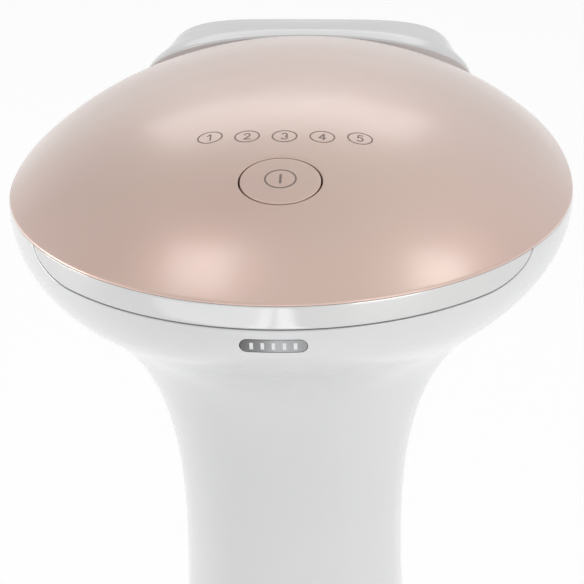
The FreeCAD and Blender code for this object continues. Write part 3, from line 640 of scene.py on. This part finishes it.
def close_steps(stroke, longest):
    """Points of a stroke with more put in, so that each step can follow a curved surface."""
    path = [Vector(stroke[0])]
    for corner in stroke[1:]:
        start, end = path[-1].copy(), Vector(corner)
        steps = max(1, math.ceil((end - start).length / longest))
        path += [start.lerp(end, i / steps) for i in range(1, steps + 1)]
    return path


def on_dome(centre, sink=0.0):
    """Surface of the dome round a mark's centre, for stroke_mark."""
    return lambda u, v, height: dome_point(centre + Vector((u, v, 0)), sink - height)


def stroke_mark(name, surface, strokes, width, body, material=None):
    """Flat strokes laid on a surface: each stroke is a run of points in the mark's own plane."""
    points, faces = [], []
    for stroke in strokes:
        path = close_steps(stroke, longest=0.2)
        base = len(points)
        for i, here in enumerate(path):
            before, after = path[max(i - 1, 0)], path[min(i + 1, len(path) - 1)]
            along = (after - before).normalized()
            side = Vector((-along.y, along.x)) * width / 2
            if i == 0:
                here = here - along * width / 2
            if i == len(path) - 1:
                here = here + along * width / 2
            for across, height in ((-1, -MARK_ROOT), (-1, MARK_LIFT), (1, MARK_LIFT), (1, -MARK_ROOT)):
                spot = here + side * across
                points.append(surface(spot.x, spot.y, height))
        for i in range(len(path) - 1):
            a, b = base + 4 * i, base + 4 * (i + 1)
            for k in range(4):
                faces.append((a + k, b + k, b + (k + 1) % 4, a + (k + 1) % 4))
        faces.append((base + 3, base + 2, base + 1, base))
        end = base + 4 * (len(path) - 1)
        faces.append((end, end + 1, end + 2, end + 3))
    mark = mesh_object(name, points, faces)
    finish_piece(mark, material or MARK, body, "rose_gold")


def arc(cx, cy, rx, ry, start, end, count=14):
    """Points of an elliptic arc, angles in degrees."""
    return [(cx + rx * math.cos(math.radians(a)), cy + ry * math.sin(math.radians(a)))
            for a in spaced(start, end, count)]


def numerals():
    """Strokes of the figures 1 to 5, each about 1 wide and 2 high, centred on zero."""
    return {
        1: [[(-0.42, 0.52), (0.1, 0.95), (0.1, -0.95)]],
        2: [arc(0, 0.42, 0.5, 0.52, 165, -35) + [(-0.5, -0.93), (0.55, -0.93)]],
        3: [arc(-0.02, 0.45, 0.48, 0.48, 150, -80) + arc(-0.02, -0.46, 0.54, 0.49, 82, -150)],
        4: [[(0.28, -0.95), (0.28, 0.93), (-0.58, -0.42), (0.62, -0.42)]],
        5: [[(0.45, 0.93), (-0.36, 0.93), (-0.43, 0.14)] + arc(-0.02, -0.34, 0.52, 0.60, 115, -140)],
    }


def level_marks():
    figures = numerals()
    for k in range(-2, 3):
        centre = Vector((k * LEVEL_PITCH, LEVEL_Y + LEVEL_BOW * k * k, 0))
        number = k + 3
        ring_mark(f"level_ring_{number}", centre, 1.78, 0.23, "handset")
        wide, high = 0.8, 0.98
        strokes = [[(x * wide, y * high) for x, y in stroke] for stroke in figures[number]]
        stroke_mark(f"level_figure_{number}", on_dome(centre), strokes, 0.25, "handset")


def power_mark():
    """Ring and bar, a little ahead of the button's middle."""
    centre = Vector((0, BUTTON_Y + 0.35, 0))
    bar = [(0, -0.95), (0, 0.95)]
    ring_mark("power_ring", centre, 2.22, 0.28, "power_button", BUTTON_DISH)
    stroke_mark("power_bar", on_dome(centre, BUTTON_DISH), [bar], 0.36, "power_button")


# ---------------------------------------------------------------- white body
def band_low(angle):
    """Height of the band's lower edge over a rim angle: level, with quarter-ellipse ends."""
    x = abs(HALF_WIDTH * math.sin(angle))
    past = (x - (BAND_HALF - BAND_CORNER)) / BAND_CORNER
    if past <= 0:
        return RIM - BAND_HEIGHT
    return RIM - BAND_HEIGHT * math.sqrt(max(0.0, 1 - past * past))


def rear_top(angle):
    """Upper edge of the rear shell: under the band, or under the cover beyond the band's ends."""
    x = abs(HALF_WIDTH * math.sin(angle))
    if x >= BAND_HALF + GAP or math.cos(angle) < 0:
        return RIM - RIM_GAP
    past = (x - (BAND_HALF - BAND_CORNER)) / (BAND_CORNER + GAP)
    drop = BAND_HEIGHT + GAP
    return min(RIM - RIM_GAP, RIM - drop * math.sqrt(max(0.0, 1 - max(past, 0.0) ** 2)))


def row_heights(low, high):
    """Heights of a shell's rows, closest where the head flares."""
    return spaced(low, 100.0, 34)[:-1] + spaced(100.0, 128.0, 24)[:-1] + spaced(128.0, high, 60)


EDGE_SOFT = 0.16


def shell_rows(angle_at, heights, columns, top_at, softness=EDGE_SOFT):
    """Outer and inner grids of a shell between its seams, with softened outer edges."""
    outer, inner = [], []
    low, high = heights[0], heights[-1]
    stretch_from = high - 9.0
    soft_rows = [(low, softness), (low + softness * 0.3, softness * 0.3), (low + softness, 0.0)]
    soft_rows += [(h, 0.0) for h in heights[1:-1]]
    soft_rows += [(high - softness, 0.0), (high - softness * 0.3, softness * 0.3), (high, softness)]
    for height, drawn in soft_rows:
        outer_row, inner_row = [], []
        for c in range(columns):
            share = c / (columns - 1)
            level = height
            if height > stretch_from:
                top = top_at(angle_at(share, height))
                run = (height - stretch_from) / (high - stretch_from)
                level = stretch_from + run * (top - stretch_from)
            angle = angle_at(share, level)
            side_soft = softness if c in (0, columns - 1) else 0.0
            outer_row.append(body_point(angle, level, max(drawn, side_soft)))
            inner_row.append(body_point(angle, level, WALL))
        outer.append(outer_row)
        inner.append(inner_row)
    return outer, inner


def soft_shares(count, length, softness):
    """Evenly spaced shares of a run, with two more close to each end for a softened edge."""
    close = softness / length
    return [0.0, close * 0.4, close] + spaced(0, 1, count)[1:-1] + [1 - close, 1 - close * 0.4, 1.0]


READY_Z = RIM - READY_DROP
READY_PROUD = 0.02              # how far the light pipe stands out of the shell


def ready_outline(y, grow):
    half_x, half_z = READY_WIDTH / 2 + grow, READY_HEIGHT / 2 + grow
    return slot_outline(half_x, half_z, half_z - 0.001, 144, y, READY_Z)


def rear_shell():
    low, high = FOOT_TOP + GAP, RIM - RIM_GAP
    shares = soft_shares(260, 140.0, EDGE_SOFT)

    def angle_at(share, height):
        end = seam_angle(height, SEAM_Y - GAP / 2)
        return end * (2 * shares[round(share * (len(shares) - 1))] - 1)

    grids = shell_rows(angle_at, row_heights(low, high), len(shares), rear_top)
    shell = mesh_object("rear_housing", *walled_sheet(*grids))
    mark_sharp(shell.data)
    carve(shell, prism_cutter("ready_cutter", [ready_outline(-70, 0.08), ready_outline(-30, 0.08)]))
    finish_piece(shell, MATERIALS["white_shell"], "handset", "white_shell", "rear_shell")


def rear_band():
    """Trim band: a closed strip along the rim, with rounded outer edges."""
    end = math.asin((BAND_HALF - 0.03) / HALF_WIDTH)
    # Columns crowd towards the ends, where the lower corner turns up.
    angles = [end * math.sin(share * math.pi / 2) for share in spaced(-1, 1, 321)]
    low_edge, top_edge = 0.22, 0.05
    loops = []
    for angle in angles:
        low, high = band_low(angle), RIM - RIM_GAP
        most = (high - low) * 0.3
        below, above = min(low_edge, most), min(top_edge, most)
        profile = [(low, WALL)]
        for turn in spaced(0, math.pi / 2, 5):
            profile.append((low + below * (1 - math.cos(turn)), below * (1 - math.sin(turn))))
        profile += [(level, 0.0) for level in spaced(low + below, high - above, 9)[1:-1]]
        for turn in spaced(math.pi / 2, 0, 4):
            profile.append((high - above * (1 - math.cos(turn)), above * (1 - math.sin(turn))))
        profile.append((high, WALL))
        loop = [body_point(angle, level, drawn) for level, drawn in profile]
        loops.append(loop)
    points, faces = ring_strip(loops, close=False)
    count = len(loops[0])
    faces.append(tuple(range(count - 1, -1, -1)))
    faces.append(tuple(range((len(loops) - 1) * count, len(loops) * count)))
    band = mesh_object("rear_trim", points, faces)
    finish_piece(band, MATERIALS["silver_trim"], "handset", "silver_trim", "rear_trim_band")


def rear_surface(x, z, out=0.0):
    """Point on the rear of the body at a place seen from behind."""
    drop = RIM - z
    power = squareness(drop)
    share = (1 - (abs(x) / half_width(drop)) ** power) ** (1 / power)
    return Vector((x, -(rear_reach(drop) * share + out), z))


def ready_light():
    """Pill-shaped light pipe flush with the shell, with five pale bars in place of a word."""
    full = ready_outline(0, 0)
    soft, depth, middle = 0.12, 1.6, 0.05

    def shrunk(share, out):
        return [rear_surface(p.x * share, READY_Z + (p.z - READY_Z) * share, out) for p in full]

    rings = [shrunk(share, READY_PROUD) for share in spaced(middle, 0.9, 10)]
    for turn in spaced(0, math.pi / 2, 5):
        drawn, back = ready_outline(0, -soft * (1 - math.sin(turn))), soft * (1 - math.cos(turn))
        rings.append([rear_surface(p.x, p.z, READY_PROUD - back) for p in drawn])
    rings += [shrunk(1.0, -depth), shrunk(middle, -depth)]
    lens = mesh_object("ready_light_pipe", *disc_faces(rings))
    finish_piece(lens, MATERIALS["smoked_lens"], "handset", "smoked_lens", "ready_light_lens")

    def surface(u, v, h):
        return rear_surface(u, READY_Z + v, READY_PROUD + h)

    pitch, half = 1.55, 0.31
    strokes = [[(k * pitch, -half), (k * pitch, half)] for k in range(-2, 3)]
    stroke_mark("ready_symbol", surface, strokes, 0.5, "handset", PALE_MARK)


VENT_COUNT, VENT_PITCH, VENT_HALF = 7, 4.0, 0.8
TRIGGER_LOW, TRIGGER_HIGH = box_mm("flash_trigger")
TRIGGER_Z = (TRIGGER_LOW.z + TRIGGER_HIGH.z) / 2
TRIGGER_HALF = Vector((7.5, 0, 12.5))


def vent_cutters():
    """Upright slots through the head's underside, shorter towards the sides."""
    cutters = []
    for i in range(VENT_COUNT):
        x = (i - (VENT_COUNT - 1) / 2) * VENT_PITCH
        near, far = 27.0, 46 - 0.35 * abs(x)
        half = (far - near) / 2
        flat = slot_outline(VENT_HALF, half, VENT_HALF - 0.01, 40, 0, 0)
        middle = (near + far) / 2
        outlines = [[Vector((x + p.x, middle + p.z, z)) for p in flat] for z in (RIM - 45, RIM - 26)]
        cutters.append(prism_cutter(f"vent_cutter_{i}", outlines))
    return cutters


def front_shell():
    low, high = FOOT_TOP + GAP, RIM - RIM_GAP
    shares = soft_shares(320, 160.0, EDGE_SOFT)

    def angle_at(share, height):
        start = seam_angle(height, SEAM_Y + GAP / 2)
        return start + (2 * math.pi - 2 * start) * shares[round(share * (len(shares) - 1))]

    grids = shell_rows(angle_at, row_heights(low, high), len(shares), lambda angle: RIM - RIM_GAP)
    shell = mesh_object("front_housing", *walled_sheet(*grids))
    mark_sharp(shell.data)
    corners = ((-60, 100), (60, 100), (60, 200), (-60, 200))
    ahead = [[Vector((x, y, z)) for x, z in corners] for y in (FACE, 90)]
    half_x, half_z = TRIGGER_HALF.x + GAP, TRIGGER_HALF.z + GAP
    finger = [slot_outline(half_x, half_z, 6.0, 96, y, TRIGGER_Z) for y in (5, 40)]
    cutters = [prism_cutter("face_cutter", ahead), prism_cutter("trigger_cutter", finger)] + vent_cutters()
    carve(shell, *cutters)
    finish_piece(shell, MATERIALS["white_shell"], "handset", "white_shell", "front_shell")


def foot_cap():
    """Rounded foot with its socket hole, closed on the inside."""
    turns = full_turn(240)
    hole, collar, collar_top, inner_floor = 4.05, 5.2, 8.9, 2.5

    def circle(radius, height):
        return [Vector((radius * math.sin(a), -radius * math.cos(a), height)) for a in turns]

    mouth = circle(hole + 0.3, 0.0)
    rings = [circle(hole, collar_top), circle(hole, 0.3), circle(hole + 0.08, 0.08), mouth]
    ground = [body_point(a, 0.0) for a in turns]
    for share in spaced(0, 1, 14)[1:]:
        rings.append([p.lerp(q, share) for p, q in zip(mouth, ground)])
    rounding = 4.0
    for turn in spaced(0, math.pi / 2, 14)[1:]:
        rings.append([body_point(a, rounding * (1 - math.cos(turn))) for a in turns])
    for height in spaced(rounding, FOOT_TOP - EDGE_SOFT, 8)[1:]:
        rings.append([body_point(a, height) for a in turns])
    rings.append([body_point(a, FOOT_TOP - EDGE_SOFT * 0.3, EDGE_SOFT * 0.3) for a in turns])
    rings.append([body_point(a, FOOT_TOP, EDGE_SOFT) for a in turns])
    rings.append([body_point(a, FOOT_TOP, WALL) for a in turns])
    rings.append([body_point(a, inner_floor, WALL + 1) for a in turns])
    rings += [circle(collar, inner_floor), circle(collar, collar_top)]
    cap = mesh_object("foot_cap_moulding", *ring_strip(rings))
    finish_piece(cap, MATERIALS["white_shell"], "handset", "white_shell", "foot_cap")


# ---------------------------------------------------------------- trigger
def flash_trigger():
    """Crowned finger button with softened edges and three shallow grip lines."""
    crown, front = 60.0, TRIGGER_HIGH.y
    count = 200
    soft = 1.0
    line_depth, line_width, line_half, line_pitch = 0.16, 0.45, 4.6, 3.2

    def face_y(x, z):
        return front - crown + math.sqrt(crown ** 2 - x * x - (z - TRIGGER_Z) ** 2)

    def outline(drawn):
        half_x, half_z = TRIGGER_HALF.x - drawn, TRIGGER_HALF.z - drawn
        return slot_outline(half_x, half_z, 5.8 - drawn, count, 0, TRIGGER_Z)

    rings = []
    flat = outline(soft)
    for share in spaced(0.03, 1.0, 30):
        ring = []
        for p in flat:
            x, z = p.x * share, TRIGGER_Z + (p.z - TRIGGER_Z) * share
            groove = 0.0
            for line in (-line_pitch, 0.0, line_pitch):
                off = (z - TRIGGER_Z - line) / line_width
                fade = max(0.0, 1 - (x / line_half) ** 4)
                groove += line_depth * math.exp(-off * off) * fade
            ring.append(Vector((x, face_y(x, z) - groove, z)))
        rings.append(ring)
    for turn in spaced(0, math.pi / 2, 8)[1:]:
        drawn, back = outline(soft * (1 - math.sin(turn))), soft * (1 - math.cos(turn))
        rings.append([Vector((p.x, face_y(q.x, q.z) - back, p.z)) for p, q in zip(drawn, flat)])
    side = outline(0.0)
    flange_y, flange_thick, flange_reach = TRIGGER_LOW.y + 2.7, 1.3, 1.2
    half_x, half_z = TRIGGER_HALF.x + flange_reach, TRIGGER_HALF.z + flange_reach
    wide = slot_outline(half_x, half_z, 6.8, count, 0, TRIGGER_Z)
    for ring, y in ((side, 18.0), (side, flange_y + flange_thick), (wide, flange_y + flange_thick),
                    (wide, flange_y)):
        rings.append([Vector((p.x, y, p.z)) for p in ring])
    rings.append([Vector((p.x * 0.05, flange_y, TRIGGER_Z + (p.z - TRIGGER_Z) * 0.05)) for p in side])
    trigger = mesh_object("flash_trigger_cap", *disc_faces(rings))
    finish_piece(trigger, MATERIALS["rose_gold"], "trigger", "rose_gold", "flash_trigger")


# ---------------------------------------------------------------- clip-on attachment
FRAME_LOW, FRAME_HIGH = box_mm("skin_contact_frame")
# Share of the depth, half width, reach up, reach down, squareness, centre's shift from the rim plane.
ATTACHMENT_STATIONS = [
    (0.0, 26.9, 7.6, 23.2, 2.15, 0.0),
    (0.22, 26.6, 8.3, 22.6, 2.3, -0.4),
    (0.55, 25.4, 10.4, 20.2, 3.0, -2.8),
    (0.86, 24.2, 12.6, 17.6, 4.3, -5.6),
    (0.965, 23.9, 13.0, 16.9, 4.7, -6.3),
    (1.0, 23.1, 12.3, 16.1, 4.7, -6.5),
]


def smooth_station(share):
    """Cubic run through the attachment's stations."""
    knots = [row[0] for row in ATTACHMENT_STATIONS]
    last = len(knots) - 2
    k = min(last, max(i for i in range(len(knots)) if knots[i] <= share + 1e-9))
    width = knots[k + 1] - knots[k]
    t = (share - knots[k]) / width

    def slope(i, column):
        rows = ATTACHMENT_STATIONS
        a, b = max(i - 1, 0), min(i + 1, len(rows) - 1)
        return (rows[b][column] - rows[a][column]) / (rows[b][0] - rows[a][0])

    values = []
    for column in range(1, 6):
        p, q = ATTACHMENT_STATIONS[k][column], ATTACHMENT_STATIONS[k + 1][column]
        m, n = slope(k, column) * width, slope(k + 1, column) * width
        values.append((2 * t ** 3 - 3 * t ** 2 + 1) * p + (t ** 3 - 2 * t ** 2 + t) * m
                      + (3 * t ** 2 - 2 * t ** 3) * q + (t ** 3 - t ** 2) * n)
    return values


def attachment_outline(share, turns, drawn=0.0):
    side, up, down, power, shift = smooth_station(share)
    y = ATTACH_LOW.y + share * (ATTACH_HIGH.y - ATTACH_LOW.y)
    ring = []
    for turn in turns:
        c, s = math.cos(turn), math.sin(turn)
        reach = (up if s > 0 else down) - drawn
        x = (side - drawn) * signed_power(c, 2 / power)
        z = RIM + shift + reach * signed_power(s, 2 / power)
        ring.append(Vector((x, y, z)))
    return ring


def attachment_shell():
    """Hood round the window, from the face of the head to a mouth that holds the contact frame."""
    count = 280
    turns = full_turn(count)
    last = 0.93
    rings = [attachment_outline(0.0, turns, 0.25)]
    rings += [attachment_outline(share, turns) for share in spaced(0.02, last, 34)]
    edge = 1.1
    ahead = ATTACH_HIGH.y
    base = attachment_outline(last, turns)
    for turn in spaced(0, math.pi / 2, 9)[1:]:
        out = edge * (1 - math.cos(turn))
        run = (ahead - base[0].y) * math.sin(turn)
        drawn = attachment_outline(last, turns, out)
        rings.append([Vector((p.x, base[0].y + run, p.z)) for p in drawn])
    front_edge = rings[-1]
    angles = [math.atan2(p.z - WINDOW_Z, p.x) for p in front_edge]
    half_x = (FRAME_HIGH.x - FRAME_LOW.x) / 2 + 0.2
    half_z = (FRAME_HIGH.z - FRAME_LOW.z) / 2 + 0.2
    mouth = slot_outline(half_x + 0.25, half_z + 0.25, 4.95, count, ahead, WINDOW_Z, angles)
    for share in spaced(0, 1, 8)[1:]:
        rings.append([p.lerp(q, share) for p, q in zip(front_edge, mouth)])
    inner = slot_outline(half_x, half_z, 4.7, count, ahead, WINDOW_Z, angles)
    throat_y = FACE + 1.9
    for depth, drawn in ((0.08, 0.5), (0.25, 1.0), (4.0, 1.0), (ahead - throat_y, 1.0)):
        rings.append([Vector((m.x + (i.x - m.x) * drawn, ahead - depth, m.z + (i.z - m.z) * drawn))
                      for m, i in zip(mouth, inner)])
    throat = slot_outline(18.6, 7.2, 3.0, count, throat_y, WINDOW_Z, angles)
    rings.append(throat)
    rings.append([Vector((p.x, ATTACH_LOW.y, p.z)) for p in throat])
    shell = mesh_object("attachment_housing", *ring_strip(rings))
    mark_sharp(shell.data)
    sensor = slot_outline(2.2, 2.2, 2.19, 48, 0, WINDOW_Z - 11.2)
    carve(shell, prism_cutter("sensor_cutter", [[Vector((p.x, y, p.z)) for p in sensor] for y in (50, 80)]))
    finish_piece(shell, MATERIALS["white_shell"], "attachment", "white_shell", "attachment_shell")


def skin_contact_frame():
    """Sprung ring round the window, with a rounded front lip."""
    count = 240
    back, ahead = FRAME_LOW.y, FRAME_HIGH.y
    half_x, half_z = (FRAME_HIGH.x - FRAME_LOW.x) / 2, (FRAME_HIGH.z - FRAME_LOW.z) / 2
    open_x, open_z = 17.5, 6.2
    soft = 0.5

    def outer(drawn, y):
        return slot_outline(half_x - drawn, half_z - drawn, 4.5 - drawn, count, y, WINDOW_Z)

    def opening(grown, y):
        return slot_outline(open_x + grown, open_z + grown, 2.6 + grown, count, y, WINDOW_Z)

    middle = back + 4
    rings = [outer(0, back), outer(0, middle), outer(0, ahead - soft)]
    for turn in spaced(0, math.pi / 2, 6)[1:]:
        rings.append(outer(soft * (1 - math.cos(turn)), ahead - soft * (1 - math.sin(turn))))
    rings.append([p.lerp(q, 0.5) for p, q in zip(outer(soft, ahead), opening(soft, ahead))])
    for turn in spaced(math.pi / 2, 0, 6):
        rings.append(opening(soft * (1 - math.cos(turn)), ahead - soft * (1 - math.sin(turn))))
    rings += [opening(0, middle), opening(0, back)]
    ring = mesh_object("skin_contact_ring", *ring_strip(rings))
    finish_piece(ring, MATERIALS["rose_gold"], "contact_frame", "rose_gold", "skin_contact_frame")


# ---------------------------------------------------------------- CAD nodes that stay
def paint_cad_nodes():
    """Gives each CAD node that still shows the finish of its slot."""
    slots = {part["node"]: part["material_slot"] for part in frame["record"]["subparts"]}
    for name, obj in frame["nodes"].items():
        if obj.hide_render:
            continue
        obj.data.materials.clear()
        obj.data.materials.append(MATERIALS[slots[name]])


# ---------------------------------------------------------------- studio
FLOOR_SIZE, FLOOR_Z = 9.0, -0.0003


def floor():
    """Pale floor that glows a little, so that it stays close to white."""
    bpy.ops.mesh.primitive_plane_add(size=FLOOR_SIZE, location=(0, 0, FLOOR_Z))
    plane = bpy.context.object
    plane.name = "studio_floor"
    material = new_material("studio_floor", (0.97, 0.97, 0.97), 0.65,
                            Emission_Color=(1, 1, 1, 1), Emission_Strength=0.16)
    plane.data.materials.append(material)


HEAD = Vector((0, 0, 0.16))      # what the lights face


def area_light(name, radiance, size, toward, distance):
    """Square-on panel of even brightness, seen from the head in a given direction."""
    data = bpy.data.lights.new(name, "AREA")
    data.shape = "RECTANGLE"
    data.size, data.size_y = size
    data.energy = radiance * math.pi * size[0] * size[1]
    light = link(bpy.data.objects.new(name, data))
    light.visible_camera = False
    direction = Vector(toward).normalized()
    light.location = HEAD + direction * distance
    light.rotation_euler = (-direction).to_track_quat("-Z", "Y").to_euler()
    return light


# Name, radiance, width and place along X of the panels just above the floor.
LOW_PANELS = [
    ("floor_strip", 0.60, 0.042, -0.050),
    ("floor_strip", 0.60, 0.060, 0.020),
    ("floor_glow", 0.30, 0.40, -0.27),
]


def lights():
    """Soft box over each side, backdrop and side panels, and low panels that the trim band mirrors."""
    area_light("left_softbox", 2.3, (0.30, 0.26), (-0.343, 0.105, 0.934), 0.9)
    area_light("right_softbox", 2.4, (0.24, 0.24), (0.58, 0.20, 0.79), 0.9)
    area_light("backdrop", 1.0, (0.60, 0.30), (-0.05, 0.89, 0.454), 1.2)
    area_light("right_panel", 1.8, (0.6, 0.5), (0.75, -0.65, 0.1), 1.0)
    area_light("left_rim", 9.0, (0.65, 0.40), (-0.96, 0.26, -0.03), 1.5)
    for name, radiance, width, x in LOW_PANELS:
        panel = area_light(name, radiance, (width, 0.6), (0, 0, -1), 0.157)
        panel.location.x, panel.location.y = x, -0.55


def tent():
    """Even pale surroundings, a little dimmer high up behind the left of the head."""
    world = bpy.data.worlds.new("studio")
    world.use_nodes = True
    tree = world.node_tree
    background = tree.nodes["Background"]
    background.inputs["Color"].default_value = (1, 1, 1, 1)
    place = tree.nodes.new("ShaderNodeTexCoord")
    facing = tree.nodes.new("ShaderNodeVectorMath")
    facing.operation = "DOT_PRODUCT"
    facing.inputs[1].default_value = Vector((-0.40, 0.58, 0.71)).normalized()
    level = tree.nodes.new("ShaderNodeMapRange")
    level.interpolation_type = "SMOOTHSTEP"
    for socket, value in (("From Min", 0.75), ("From Max", 1.0), ("To Min", 0.735), ("To Max", 0.52)):
        level.inputs[socket].default_value = value
    tree.links.new(place.outputs["Generated"], facing.inputs[0])
    tree.links.new(facing.outputs["Value"], level.inputs["Value"])
    tree.links.new(level.outputs["Result"], background.inputs["Strength"])
    bpy.context.scene.world = world


LENS = 241.829                  # millimetres, on a sensor 36 mm wide


def camera():
    """The photograph's view: 20 degrees down on the control side, slightly from the right."""
    elevation, azimuth, roll = math.radians(20.0), math.radians(3.047), math.radians(-0.583)
    distance, aim = 0.600, Vector((-0.107, 0.0, RIM - 17.101)) * MM
    forward = Vector((-math.sin(azimuth) * math.cos(elevation), math.cos(azimuth) * math.cos(elevation),
                      -math.sin(elevation)))
    right = Vector((math.cos(azimuth), math.sin(azimuth), 0))
    up = right.cross(forward)
    turned_right = right * math.cos(roll) + up * math.sin(roll)
    turned_up = up * math.cos(roll) - right * math.sin(roll)
    data = bpy.data.cameras.new("camera")
    data.sensor_width = 36.0
    data.lens = LENS
    data.clip_start, data.clip_end = 0.05, 20.0
    viewer = link(bpy.data.objects.new("camera", data))
    turn = Matrix((turned_right, turned_up, -forward)).transposed()
    viewer.matrix_world = Matrix.Translation(aim - forward * distance) @ turn.to_4x4()
    bpy.context.scene.camera = viewer


top_cover()
power_button()
level_marks()
power_mark()
rear_shell()
rear_band()
ready_light()
front_shell()
foot_cap()
flash_trigger()
attachment_shell()
skin_contact_frame()
paint_cad_nodes()
floor()
lights()
tent()
camera()
bpy.context.scene.view_settings.view_transform = "Standard"
